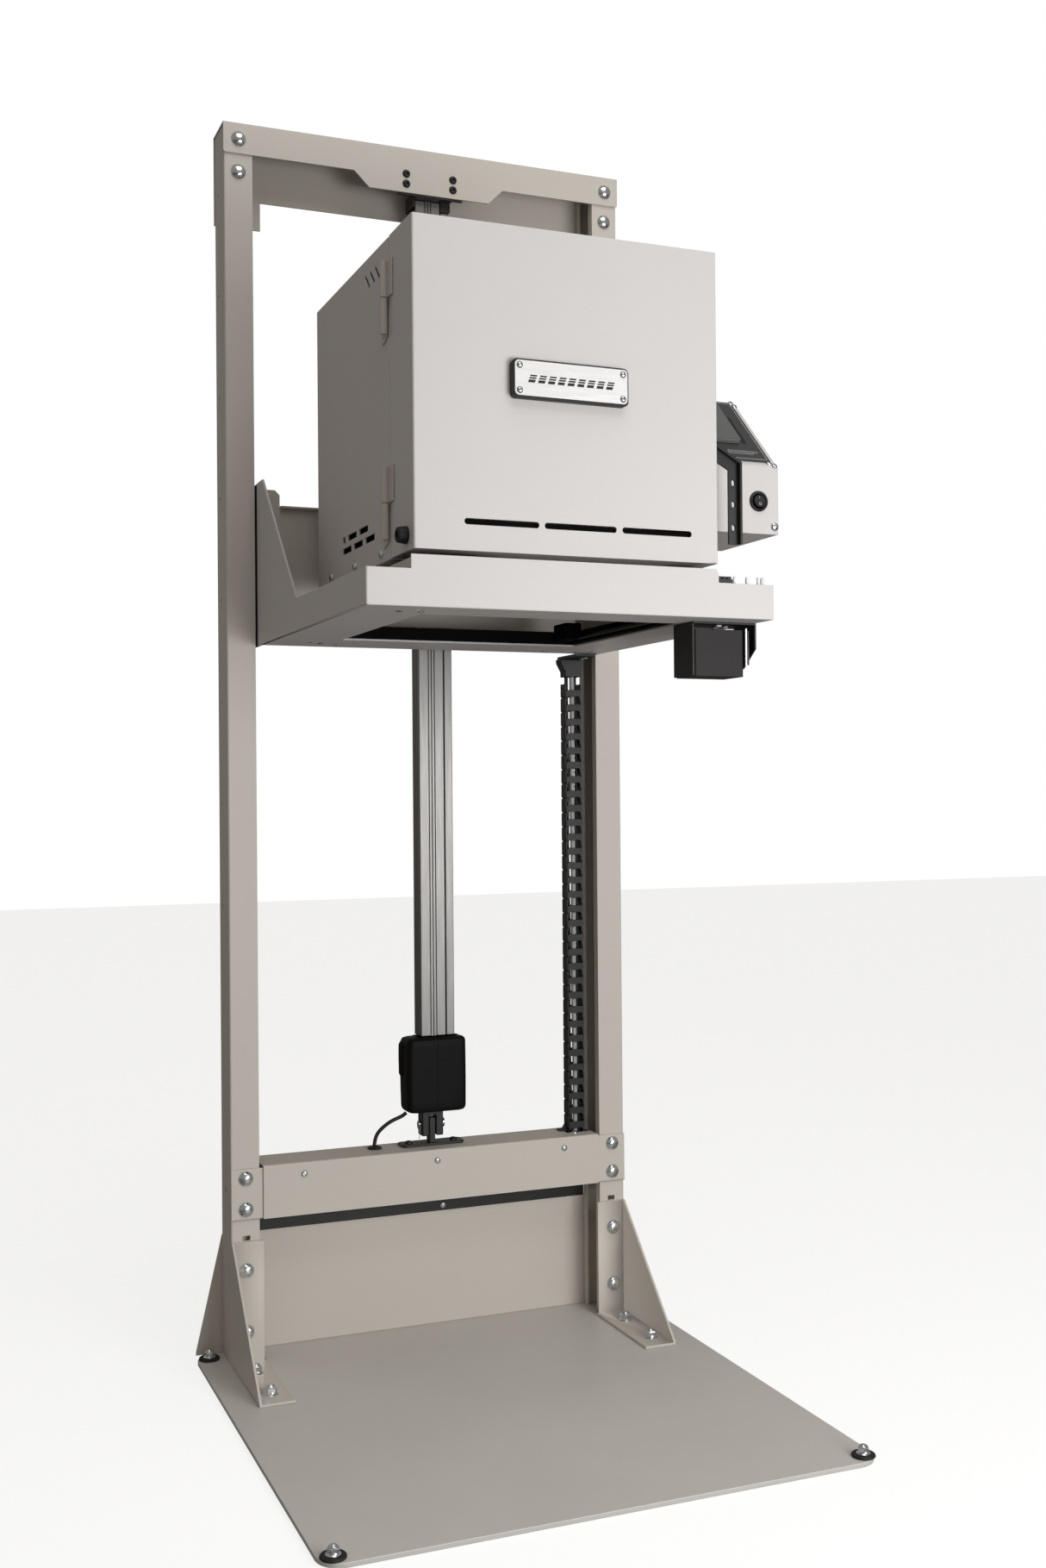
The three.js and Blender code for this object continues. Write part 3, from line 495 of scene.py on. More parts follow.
# ---- CAD solids carried over with rounded folds and eased edges ----
SHEETS = {
    "frame_paint": ["upright_left", "upright_right", "top_beam", "crossbeam_body", "crossbeam_cover",
                    "gusset_left", "gusset_right", "back_panel", "carriage_back_wall", "oven_riser"],
    "oven_paint": ["carriage_tray", "oven_shell", "door_shell", "controller_box"],
}
for paint, names in SHEETS.items():
    for node in names:
        is_door = node == "door_shell"
        is_shell = is_door or node == "oven_shell"
        refined(node, f"{node}_sheet", paint, fold=1.1 if is_shell else 1.9,
                edge=0 if is_door else 0.35, slotted=is_door)
refined("base_plate", "base_plate_slab", "base_steel", fold=0.7, edge=0.7)
for node in ("hinge_fixed_upper", "hinge_fixed_lower", "hinge_moving_upper", "hinge_moving_lower"):
    refined(node, f"{node}_leaf", "frame_paint", fold=0.5, edge=0.4)
for node in ("actuator_column", "actuator_rail"):
    refined(node, f"{node}_profile", "column_aluminium", fold=0.9, edge=0.25)
for node in ("top_bracket", "guide_bracket_left", "guide_bracket_right", "drive_bracket", "door_handle",
             "rear_filler", "chain_bracket"):
    fold = 0.4 if node == "drive_bracket" else 1.2
    refined(node, f"{node}_steel", "black_paint", fold=fold, edge=0.3)
for node in ("clevis_fork", "clevis_foot"):
    refined(node, f"{node}_steel", "black_paint", fold=1.6, edge=0.5, wide=4)
refined("actuator_slider", "actuator_slider_shell", "dark_grey_plastic",
        fold=1.6, edge=0.6)
refined("drive_box", "drive_box_shell", "dark_grey_plastic",
        fold=0.5, edge=0.5, angle=60)
for node in ("guide_roller_lower_left", "guide_roller_lower_right",
             "guide_roller_upper_left", "guide_roller_upper_right"):
    refined(node, f"{node}_tyre", "dark_grey_plastic", fold=1.5, edge=0.6, wide=20)
for node in ("oven_lining", "door_plug"):
    refined(node, f"{node}_brick", "firebrick", fold=1.5, edge=1.0)
refined("clevis_pin", "clevis_pin_steel", "zinc_plate", fold=0.6, edge=0.6)
refined("name_block", "name_block_pad", "black_plastic", fold=0.8, edge=0.8)
refined("name_plate", "name_plate_sheet", "anodised_plate", fold=0.35, edge=0.35)
refined("controller_panel", "controller_panel_film", "panel_film", fold=0.4, edge=0.3)
refined("touch_screen", "touch_screen_glass", "screen_film", fold=1.0, edge=0.6)
refined("thermocouple", "thermocouple_tube", "heating_alloy", fold=0.6, edge=0.6)
refined("rocker_button", "rocker_button_cap", "black_plastic", fold=0.8, edge=0.5, wide=3)


# ---- fasteners ----
def dome_head(bm):
    """A round bolt head."""
    add_lathe(bm, [(0, 5.6), (2.6, 5.42), (5.2, 4.7), (7.4, 3.35), (8.9, 1.7), (9.5, 0.75), (9.6, 0.25),
                   (9.45, 0), (0, 0)], 32)


def thread(radius, low, high, pitch=1.1):
    """The lathe profile of a bolt's end: rings for its thread, then a chamfer."""
    rings = []
    z = low
    while z < high - 0.8:
        rings += [(radius, z), (radius - 0.45, z + pitch / 2)]
        z += pitch
    return rings + [(radius - 0.2, high - 0.7), (radius - 0.9, high), (0, high)]


def flange_nut(bm):
    """Flange, hexagon, locking collar and the end of the bolt."""
    add_lathe(bm, [(0, 0), (9.4, 0), (9.6, 0.5), (9.0, 1.2), (7.6, 2.0), (6.9, 3.4), (0, 3.4)], 32)
    add_lathe(bm, [(0, 1.4), (7.7, 1.4), (7.7, 7.6), (7.0, 8.7), (0, 8.7)], 6)
    add_lathe(bm, [(0, 8.0), (6.1, 8.0), (6.0, 9.4), (5.2, 10.3), (4.3, 10.4), (4.1, 9.6), (0, 9.6)], 28)
    add_lathe(bm, [(0, 9.0)] + thread(3.9, 9.1, 11.6), 20)


def pan_head(radius, height):
    """A pan head with a cross recess."""
    bm = bmesh.new()
    add_lathe(bm, [(0, height), (radius * 0.4, height * 0.96), (radius * 0.72, height * 0.8),
                   (radius * 0.93, height * 0.45), (radius, height * 0.12), (radius * 0.98, 0), (0, 0)], 24)
    tool = bmesh.new()
    arm = radius * 1.15
    points = []
    for i in range(4):
        a = i * math.pi / 2
        for da, r in ((-0.22, arm / 2), (0.22, arm / 2), (math.pi / 4, arm * 0.2)):
            points.append((r * math.cos(a + da), r * math.sin(a + da)))
    add_prism(tool, points, height * 0.3, height + 2)
    return carve(bm, tool)


def button_head(radius, height, socket):
    """A button head with a hexagon socket of radius socket."""
    bm = bmesh.new()
    add_lathe(bm, [(0, height), (radius * 0.6, height), (radius * 0.86, height * 0.72),
                   (radius * 0.97, height * 0.35), (radius, 0), (0, 0)], 28)
    tool = bmesh.new()
    points = [(socket * math.cos(i * math.pi / 3), socket * math.sin(i * math.pi / 3)) for i in range(6)]
    add_prism(tool, points, height * 0.25, height + 2)
    return carve(bm, tool)


DOME = template(dome_head)
NUT = template(flange_nut)
PAN = pan_head(4.4, 2.7)
PAN_SMALL = pan_head(3.7, 2.2)
PAN_MID = pan_head(5.0, 2.9)
PAN_TINY = pan_head(2.5, 1.3)
BUTTON_TINY = button_head(2.9, 1.5, 1.0)
BUTTON = button_head(5.2, 2.9, 2.4)

beam_face = millimetres("top_beam")[0].y
cross_face = millimetres("crossbeam_body")[0].y
gusset_face = millimetres("gusset_left")[1].y - 3
upright_face = millimetres("upright_left")[0].y
BOLT_X = 251
BEAM_BOLT_Z, UPRIGHT_BOLT_Z = 1528, 1488
CROSS_BOLT_ZS = (235.4, 197.3)
GUSSET_BOLT_ZS = (121.9, 45.7)
bolt_rows = [(BEAM_BOLT_Z, beam_face), (UPRIGHT_BOLT_Z, upright_face)]
bolt_rows += [(z, cross_face) for z in CROSS_BOLT_ZS]
bolt_rows += [(z, gusset_face) for z in GUSSET_BOLT_ZS]
bolts = [facing(sx * BOLT_X, y, z, FRONT, 0.4 * z) for sx in (-1, 1) for z, y in bolt_rows]
scatter("frame_dome_bolts", DOME, bolts, "zinc_plate", "frame")
GUSSET_NUT_X, GUSSET_NUT_YS, GUSSET_FLANGE_TOP = 249, (129, 204), 8.3
INNER_NUT_Y = 250
gusset_nuts = [facing(sx * GUSSET_NUT_X, y, GUSSET_FLANGE_TOP, (0, 0, 1), 0.3 * y)
               for sx in (-1, 1) for y in GUSSET_NUT_YS]
inner_nuts = [facing(sx * BOLT_X, INNER_NUT_Y, z, (0, 1, 0), z) for sx in (-1, 1)
              for z in (BEAM_BOLT_Z, *CROSS_BOLT_ZS, *GUSSET_BOLT_ZS)]
scatter("frame_flange_nuts", NUT, gusset_nuts + inner_nuts, "zinc_plate", "frame", 28)

cover_face = millimetres("crossbeam_cover")[0].y
cover_top = millimetres("crossbeam_cover")[1].z
filler_face = millimetres("rear_filler")[0].y
pans = [facing(x, cover_face, 235.7, FRONT, x) for x in (-177.4, -0.5, 178.9)]
pans.append(facing(203.0, 262, cover_top, (0, 0, 1)))
pans.append(facing(26.8, filler_face, 162.0, FRONT, 0.7))
scatter("cover_screws", PAN, pans, "zinc_plate", "frame")
black_screws = [facing(x, beam_face, z, FRONT, z) for x in (-32, 32) for z in (1501.5, 1514.5)]
COLUMN_X = 3
FOOT_SCREW_Y, FOOT_TOP = 278, 253.4
black_screws += [facing(COLUMN_X + dx, FOOT_SCREW_Y, FOOT_TOP, (0, 0, 1)) for dx in (-31, 31)]
scatter("black_button_screws", BUTTON, black_screws, "black_paint", "frame")

oven_low, oven_high = millimetres("oven_shell")
SIDE_SCREW_YS, SIDE_SCREW_Z = (96.4, -1, -99.8), 965.5
oven_screws = [facing(oven_low.x, y, SIDE_SCREW_Z, LEFT, y) for y in SIDE_SCREW_YS]
oven_screws += [facing(oven_high.x, y, SIDE_SCREW_Z, RIGHT, y) for y in SIDE_SCREW_YS]
for x in (-160, -58, 52, 154):
    for z in (970, 1282):
        oven_screws.append(facing(x, oven_high.y, z, (0, 1, 0), x))
scatter("oven_skin_screws", PAN_MID, oven_screws, "zinc_plate", "carriage")

# painted shade: near-black sheets behind the side vents and behind the door's slots, so that the openings
# read dark
vent_shade = bmesh.new()
for x0 in (oven_low.x + 5, oven_high.x - 6):
    add_box(vent_shade, x0, x0 + 1, -126, 150, 961, 1291)
piece("oven_vent_painted_shade", vent_shade, "black_and_painted_shade", "carriage", bevel=0.2)

door_low, door_high = millimetres("door_shell")
slot_shade = bmesh.new()
add_box(slot_shade, door_low.x + 6, door_high.x - 6, door_low.y + 4, door_low.y + 5, 966, 990)
piece("door_slot_painted_shade", slot_shade, "black_and_painted_shade", "door", bevel=0.2)

# two dimples beside each hinge's fixed leaf, and the cut corner below it
DIMPLE_Y = -113
dimples = bmesh.new()
flaps = bmesh.new()
for node in ("hinge_fixed_upper", "hinge_fixed_lower"):
    low, high = millimetres(node)
    mid = (low.z + high.z) / 2
    for z in (mid + 11, mid - 10):
        add_lathe(dimples, [(0, 0), (0.9, 0), (0.9, 0.25), (0, 0.25)], 16,
                  facing(oven_low.x, DIMPLE_Y, z, LEFT))
    outline = [(-129, low.z + 0.2), (-129, low.z - 1.2), (-112.5, low.z - 7.5), (-112.5, low.z - 4.5),
               (-119, low.z + 0.2)]
    add_prism(flaps, outline, oven_low.x - 1.6, oven_low.x - 0.2, ALONG_X)
piece("hinge_dimples", dimples, "black_paint", "carriage")
piece("hinge_leaf_corners", flaps, "frame_paint", "carriage", bevel=0.3)

# ---- levelling feet at the base corners ----
WASHER_T = 3.0
FOOT_NUT_SCALE = 0.80
washers = bmesh.new()
feet = bmesh.new()
pad_nodes = [f"level_pad_{end}_{hand}" for end in ("front", "back") for hand in ("left", "right")]
for node in pad_nodes:
    low, high = millimetres(node)
    x, y = (low.x + high.x) / 2, (low.y + high.y) / 2
    at = facing(x, y, low.z)
    add_lathe(washers, [(5, 0), (12.6, 0), (13, 0.6), (12.8, 1.9), (12.0, 2.7), (6.5, WASHER_T),
                        (5, WASHER_T), (5, 0)], 40, at)
    small = at @ Matrix.Translation((0, 0, WASHER_T)) @ Matrix.Scale(FOOT_NUT_SCALE, 4)
    small = small @ Matrix.Rotation(0.3 * x, 4, "Z")
    add_mesh(feet, NUT, small)
    add_lathe(feet, [(0, -5.2), (3.3, -5.2), (3.3, 4), (0, 4)], 20, at)
piece("levelling_washers", washers, "black_rubber", "frame", replaced=pad_nodes, angle=40)
piece("levelling_studs", feet, "zinc_plate", "frame", angle=28)

# ---- gearmotor housing: two moulded halves with a motor bulge at the upper left ----
low, high = millimetres("gearmotor_housing")


def end_inset(z):
    """How far the housing's walls draw in at a height, so that both its ends are rounded."""
    t = (z - low.z) / (high.z - low.z)
    ease = min(1.0, t / 0.07, (1 - t) / 0.06)
    return 5.0 * (1 - math.sqrt(max(0.0, 1 - (1 - ease) ** 2)))


motor = bmesh.new()
rings = []
levels = [0, 0.008, 0.02, 0.04, 0.07, 0.15, 0.3, 0.45, 0.6, 0.75, 0.86, 0.94, 0.965, 0.985, 1.0]
for t in levels:
    z = low.z + t * (high.z - low.z)
    inset = end_inset(z)
    taper = 1.2 * math.sin(math.pi * t)
    outline = round_rect(-37 + inset - taper, 43 - inset + 0.3 * taper, 246.3 + inset * 0.7, 286 - inset,
                         7.5, 6)
    rings.append([motor.verts.new((x, y, z)) for x, y in outline])
for a, b in zip(rings, rings[1:]):
    for i in range(len(a)):
        j = (i + 1) % len(a)
        motor.faces.new((a[i], a[j], b[j], b[i]))
motor.faces.new(list(reversed(rings[0])))
motor.faces.new(rings[-1])
# motor can
can = [(0, -27), (15, -27), (19.5, -25.2), (21.5, -21), (21.8, 0), (21.6, 17), (19.5, 21.5), (15, 23.5),
       (0, 23.5)]
add_lathe(motor, can, 36, facing(-19.2, 276, 368.0 - 2) @ Matrix.Scale(0.98, 4))
# rim between the halves, screw bosses and a collar under the column
add_prism(motor, round_rect(-37.6, 43.4, 268, 270.5, 1.2, 3), low.z + 6, high.z - 6)
BOSS_XS, BOSS_Y = (-29, 35), 256
for bx in BOSS_XS:
    add_lathe(motor, [(0, 0), (5.5, 0), (5.5, 3), (4.8, 3.8), (0, 3.8)], 20,
              facing(bx, BOSS_Y, high.z - 4.0))
add_prism(motor, round_rect(-19, 34, 254, 288, 3, 3), high.z - 5, high.z)
piece("gearmotor_cover", motor, "housing_plastic", "frame", bevel=0.6, angle=40,
      replaced=["gearmotor_housing"])
seam = bmesh.new()
add_box(seam, 2.2, 3.4, 245.85, 248, low.z + 5, high.z - 6)
piece("gearmotor_seam", seam, "housing_plastic", "frame", bevel=0.25)
motor_screws = [facing(x, BOSS_Y, high.z - 1.0, (0, 0, 1)) for x in BOSS_XS]
scatter("gearmotor_screws", PAN_TINY, [m @ Matrix.Translation((0, 0, -0.4)) for m in motor_screws],
        "zinc_plate", "frame")

# cotter wire through the clevis pin
wire = bmesh.new()
add_tube(wire, smooth_path([(-13.8, 274, 281), (-13.8, 271, 277), (-13.9, 273, 272), (-14.2, 278, 270.6),
                            (-14.0, 282.5, 273.5), (-13.9, 282, 279)], 26), 0.55, 8)
add_tube(wire, smooth_path([(-13.6, 272.4, 276), (-14.6, 270.8, 268), (-15.6, 270.2, 259)], 12), 0.45, 8)
piece("cotter_wire", wire, "zinc_plate", "frame")

# ---- motor cable and its grommet ----
LEAD_R = 2.5
route = [(-32, 274, 294.4), (-38, 275, 290), (-54, 277, 283), (-68.5, 279, 271), (-74, 279, 257),
         (-74, 279, 236)]
line = smooth_path(route, 28)
cable_data = bpy.data.curves.new("motor_lead", "CURVE")
cable_data.dimensions = "3D"
cable_data.bevel_depth = LEAD_R * MM
cable_data.bevel_resolution = 4
cable_data.use_fill_caps = True
spline = cable_data.splines.new("POLY")
spline.points.add(len(line) - 1)
for point, p in zip(spline.points, line):
    point.co = (p.x * MM, p.y * MM, p.z * MM, 1)
cable_data.materials.append(MAT["cable_jacket"])
lead = bpy.data.objects.new("motor_lead", cable_data)
scene.collection.objects.link(lead)
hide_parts("motor_cable")
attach(lead, "frame")
low, high = millimetres("cable_grommet")
grommet = bmesh.new()
add_lathe(grommet, [(3.1, 0), (5.9, 0), (5.9, 4.8), (9.3, 4.8), (9.5, 5.4), (9.0, 6.4), (7.0, 7.4),
                    (3.4, 7.8), (3.1, 7.4), (3.1, 0)], 32, facing(-74, 279, low.z))
grommet_piece = piece("grommet_ring", grommet, "black_rubber", "frame",
                      replaced=["cable_grommet"])

# ---- drag chain ----
low, high = millimetres("drag_chain")
cx, cy = (low.x + high.x) / 2, (low.y + high.y) / 2
half_w, half_d = (high.x - low.x) / 2, (high.y - low.y) / 2
PITCH = 19.6
# the chain below the collar gives up all of the lift's travel
collar_low = high.z - 24


def chain_link(bm):
    """One link, open front and back between solid bands, from z = 0 to its pitch."""
    for y0, y1 in ((-half_d, -half_d + 1.6), (half_d - 1.6, half_d)):
        outline = [(-half_w + 0.9, 5.6), (-half_w + 0.9, 14.2), (-half_w + 3.4, 15.4), (half_w - 3.4, 15.4),
                   (half_w - 0.9, 14.2), (half_w - 0.9, 5.6), (half_w - 4.5, 5.6), (half_w - 4.5, 6.6),
                   (2.4, 6.6), (1.6, 5.8), (-1.6, 5.8), (-2.4, 6.6), (-half_w + 4.5, 6.6),
                   (-half_w + 4.5, 5.6)]
        add_prism(bm, outline, y0, y1, ALONG_Y)
    for s in (-1, 1):
        x0, x1 = sorted((s * half_w, s * (half_w - 1.4)))
        add_box(bm, x0, x1, -half_d + 1.2, half_d - 1.2, 6.5, PITCH + 4)
        x0, x1 = sorted((s * (half_w - 1.5), s * (half_w - 2.8)))
        add_box(bm, x0, x1, -half_d + 0.6, half_d - 0.6, 0, 13)
        add_lathe(bm, [(0, 0), (3.2, 0), (2.9, 0.6), (0, 0.6)], 16,
                  facing(s * (half_w - 0.5), 0, PITCH - 1, (s, 0, 0)))
        x0, x1 = sorted((s * (half_w - 1.0), s * (half_w - 5.0)))
        add_box(bm, x0, x1, -half_d + 0.4, -half_d + 2.2, 0.4, 2.2)


LINK = template(chain_link)
links = bmesh.new()
count = int((high.z - low.z - 26) // PITCH)
for i in range(count):
    add_mesh(links, LINK, facing(cx, cy, low.z + 1 + i * PITCH))
chain = piece("drag_chain_links", links, "black_plastic", "frame", bevel=0.25, angle=30,
              replaced=["drag_chain"], segments=1)
collar = bmesh.new()
flared = [(cx - half_w, collar_low), (cx + half_w, collar_low), (cx + half_w + 1, high.z - 8),
          (cx + half_w + 1, high.z), (cx - half_w - 7, high.z), (cx - half_w - 6, high.z - 6),
          (cx - half_w, high.z - 17)]
add_prism(collar, flared, cy - half_d, cy + half_d, ALONG_Y)
piece("drag_chain_bracket", collar, "black_plastic", "carriage", bevel=1.2)
foot = bmesh.new()
add_box(foot, cx - half_w - 11, cx - half_w + 1, cy - 3, cy + 8, 250.2, 252.4)
add_prism(foot, [(cx - half_w - 7, 252.3), (cx - half_w - 0.3, 252.3), (cx - half_w - 0.3, 262)],
          cy + 1, cy + 3, ALONG_Y)
piece("drag_chain_foot", foot, "black_plastic", "frame", bevel=0.4)
cables = bmesh.new()
cable_heights = range(int(low.z) + 1, int(high.z) - 10, 12)
for dx, dy, r, wave in ((-6.0, 0.5, 2.5, 0.7), (6.2, -0.5, 2.2, 0.8)):
    points = [(cx + dx + wave * math.sin(z / 37.0 + dx), cy + dy, z) for z in cable_heights]
    add_tube(cables, points, r, 10)
dark = piece("chain_cables_dark", cables, "cable_jacket", "frame")
pale = bmesh.new()
points = [(cx + 0.3 + 0.5 * math.sin(z / 41.0), cy - 1.5, z) for z in cable_heights]
add_tube(pale, points, 3.3, 12)
pale = piece("chain_cable_pale", pale, "grey_jacket", "frame")
for flexible in (chain, dark, pale):
    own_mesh(flexible)

# ---- heating coils along the chamber walls ----
COIL_ROWS, COIL_LOW, COIL_STEP = 5, 1048, 36
COIL_ENDS = (-104, 78)
COIL_R, COIL_PITCH, WIRE_R = 1.9, 6.5, 0.7
for node in ("element_left", "element_right"):
    low, high = millimetres(node)
    x = (low.x + high.x) / 2
    rows = []
    for i in range(COIL_ROWS):
        z = COIL_LOW + i * COIL_STEP
        ends = COIL_ENDS if i % 2 == 0 else COIL_ENDS[::-1]
        for k in range(13):
            rows.append(Vector((x, ends[0] + (ends[1] - ends[0]) * k / 12, z)))
        if i < COIL_ROWS - 1:
            rows.append(Vector((x, ends[1] + (6 if i % 2 == 0 else -6), z + COIL_STEP / 2)))
    fine = smooth_path(rows, 900)
    coil = []
    travelled = 0.0
    for i, p in enumerate(fine):
        step = fine[min(i + 1, len(fine) - 1)] - fine[max(i - 1, 0)]
        ahead = step.normalized() if step.length > 1e-6 else Vector((0, 1, 0))
        if i:
            travelled += (p - fine[i - 1]).length
        across = Vector((1, 0, 0))
        other = ahead.cross(across)
        phase = travelled * 2 * math.pi / COIL_PITCH
        coil.append(p + across * (COIL_R * math.cos(phase)) + other * (COIL_R * math.sin(phase)))
    bm = bmesh.new()
    add_tube(bm, coil, WIRE_R, 6)
    piece(f"{node}_coil", bm, "heating_alloy", "carriage", replaced=[node], angle=60)

# ---- door furniture ----
low, high = millimetres("door_bumper")
bumper_y, bumper_z = (low.y + high.y) / 2, (low.z + high.z) / 2
bumper = bmesh.new()
add_lathe(bumper, [(0, 0), (9.0, 0), (9.2, 0.5), (8.8, 3.5), (8.1, 8.6), (7.7, 9.8), (6.9, 10.4),
                   (4.8, 10.4), (4.3, 9.6), (4.2, 5), (0, 5)], 36, facing(high.x, bumper_y, bumper_z, LEFT))
piece("door_bumper_cone", bumper, "black_rubber", "door", replaced=["door_bumper"], angle=40)
bumper_screw = facing(high.x - 5.0, bumper_y, bumper_z, LEFT)
scatter("door_bumper_screw", PAN_SMALL, [bumper_screw], "zinc_plate", "door")
plate_low, plate_high = millimetres("name_plate")
plate_x = (plate_low.x + plate_high.x) / 2
plate_z = (plate_low.z + plate_high.z) / 2
corners = [(plate_x + dx, plate_z + dz) for dx in (-58.6, 58.6) for dz in (-12.9, 12.9)]
plate_screws = [facing(x, plate_low.y, z, FRONT, x + z) for x, z in corners]
scatter("name_plate_screws", BUTTON_TINY, plate_screws, "zinc_plate", "door")
# a plain pattern of slanted bars on the plate
BAR_COUNT, BAR_STEP, BAR_W, BAR_SLANT = 9, 11, 7.6, 0.35
engraved = bmesh.new()
on_plate = Matrix(((1, 0, 0, 0), (0, 0, -1, plate_low.y), (0, 1, 0, plate_z), (0, 0, 0, 1)))
for i in range(BAR_COUNT):
    x0 = plate_x - 48 + i * BAR_STEP
    for z0, z1 in ((-4.4, -1.4), (-0.5, 1.1), (2.0, 3.6)):
        lean0, lean1 = BAR_SLANT * z0, BAR_SLANT * z1
        outline = [(x0 + lean0, z0), (x0 + BAR_W + lean0, z0), (x0 + BAR_W + lean1, z1), (x0 + lean1, z1)]
        add_prism(engraved, outline, -0.3, 0.1, on_plate)
piece("name_plate_bars", engraved, "black_paint", "door")
# washers under the name plate screws
rings = bmesh.new()
for x, z in corners:
    add_lathe(rings, [(2.7, 0), (3.5, 0), (3.4, 0.25), (2.7, 0.25), (2.7, 0)], 28,
              facing(x, plate_low.y, z, FRONT))
piece("name_plate_screw_rings", rings, "black_paint", "door")

# ---- controller: panel print, slot, rocker switch and screws ----
box_low, box_high = millimetres("controller_box")
CREASE_Z, TOP_Z, SLOPE_BACK = 1085, box_high.z, -33
slope = math.atan2(TOP_Z - CREASE_Z, SLOPE_BACK - box_low.y)
slope_normal = (0, -math.sin(slope), math.cos(slope))
slope_place = Matrix.Translation((0, box_low.y, CREASE_Z)) @ Matrix.Rotation(slope, 4, "X")


def on_slope(x, s, lift=0.0):
    """A point at x, s up the slope from its crease and lift above it."""
    return slope_place @ Vector((x, s, lift))


prints = bmesh.new()
PANEL = 2.5
px0, px1, s0, s1 = 181.5, 282.0, 9.5, 131.5
RULE = 0.8
for a in ((px0, px1, s0, s0 + RULE), (px0, px1, s1 - RULE, s1),
          (px0, px0 + RULE, s0, s1), (px1 - RULE, px1, s0, s1)):
    add_box(prints, a[0], a[1], a[2], a[3], PANEL - 0.1, PANEL + 0.12, slope_place)
# rows of dashes in place of print
for row, (x0, x1) in enumerate(((236, 276), (196, 274), (196, 268))):
    x = x0
    k = 0
    while x < x1:
        width = 2.2 + 2.4 * abs(noise.noise((k * 1.7, row * 3.1, 0.5)))
        add_box(prints, x, min(x + width, x1), 25 - row * 3.0, 25.9 - row * 3.0, PANEL - 0.1, PANEL + 0.1,
                slope_place)
        x += width + 0.9
        k += 1
piece("panel_print_lines", prints, "print_white", "carriage")
slot_bm = bmesh.new()
add_box(slot_bm, 262.5, 268.5, 42, 100, PANEL - 0.1, PANEL + 0.15, slope_place)
piece("panel_card_slot", slot_bm, "black_rubber", "carriage")
glass = bmesh.new()
screen_low, screen_high = millimetres("touch_screen")
add_prism(glass, round_rect(screen_low.x + 3, screen_high.x - 3, 43, 126 - 3, 4, 4), 7.8, 8.1, slope_place)
piece("screen_window", glass, "screen_film", "carriage", bevel=0.1)

slope_screws = [on_slope(x, s, lift) for x, s, lift in
                ((283.5, 132.0, PANEL), (181.0, 132.0, PANEL), (283.2, 6.5, 0.0), (181.0, 6.5, 0.0))]
places = [facing(p.x, p.y, p.z, slope_normal, p.x) for p in slope_screws]
CORNER_SCREW_Z = 1015.8
corner_screw = [facing(287.4, box_low.y, CORNER_SCREW_Z, FRONT)]
scatter("controller_corner_screw", PAN_MID, corner_screw, "zinc_plate", "carriage")
places.append(facing(178.0, box_low.y, CORNER_SCREW_Z, FRONT))
for y in (-108, -12):
    for z in (1018, 1075):
        places.append(facing(box_high.x, y, z, RIGHT, y))
places.append(facing(288.6, *on_slope(0, 1.8).yz, slope_normal))
places.append(facing(288.8, *on_slope(0, 130).yz, slope_normal))
scatter("controller_screws", PAN_SMALL, places, "zinc_plate", "carriage")

low, high = millimetres("rocker_bezel")
bx, bz = (low.x + high.x) / 2, (low.z + high.z) / 2
bezel = bmesh.new()
add_lathe(bezel, [(8.4, -14), (9.6, -14), (9.6, 0), (11.6, 0), (11.9, 0.4), (11.8, 1.3), (11.2, 2.1),
                  (10.2, 2.5), (9.4, 2.3), (8.8, 1.5), (8.4, 1.2), (8.4, -14)], 48,
          facing(bx, low.y + 2.7, bz, FRONT))
piece("rocker_bezel_ring", bezel, "black_plastic", "carriage", replaced=["rocker_bezel"])
marks = bmesh.new()
add_box(marks, bx - 0.35, bx + 0.35, -133.72, -133.4, bz + 2.0, bz + 5.2)
ring_place = facing(bx, -134.9, bz - 3.4, (0, -1, 0.12))
add_lathe(marks, [(1.1, 0.0), (1.75, 0.0), (1.75, 0.5), (1.1, 0.5), (1.1, 0.0)], 20, ring_place)
piece("rocker_marks", marks, "print_white", "rocker")

# ---- connectors and drive under and on the tray ----
low, high = millimetres("terminal_block")
terminal = bmesh.new()
add_box(terminal, low.x, high.x, low.y, high.y, low.z, high.z - 3)
for i in range(3):
    x0 = low.x + 1 + i * 6
    add_box(terminal, x0, x0 + 4.8, low.y + 1, high.y - 1, high.z - 3.5, high.z)
piece("terminal_block_shell", terminal, "black_plastic", "carriage", bevel=0.5,
      replaced=["terminal_block"])
low, high = millimetres("stud_plate")
pins = bmesh.new()
add_box(pins, low.x, high.x, low.y, high.y, low.z, low.z + 1.6)
STUD_Y = -214
for x, r in ((186.3, 1.5), (202, 1.9), (215.8, 1.5), (221.2, 2.4)):
    height = high.z - low.z - 0.5
    add_lathe(pins, [(r, 0), (r, height - r * 1.2), (r * 0.85, height - r * 0.5),
                     (r * 0.45, height - r * 0.1), (0, height)], 18, facing(x, STUD_Y, low.z + 0.5))
    add_lathe(pins, [(0, 0), (r + 2.2, 0), (r + 2.2, 2.6), (0, 2.6)], 6, facing(x, STUD_Y, low.z + 1.2))
piece("stud_plate_pins", pins, "anodised_plate", "carriage", replaced=["stud_plate"], angle=30)

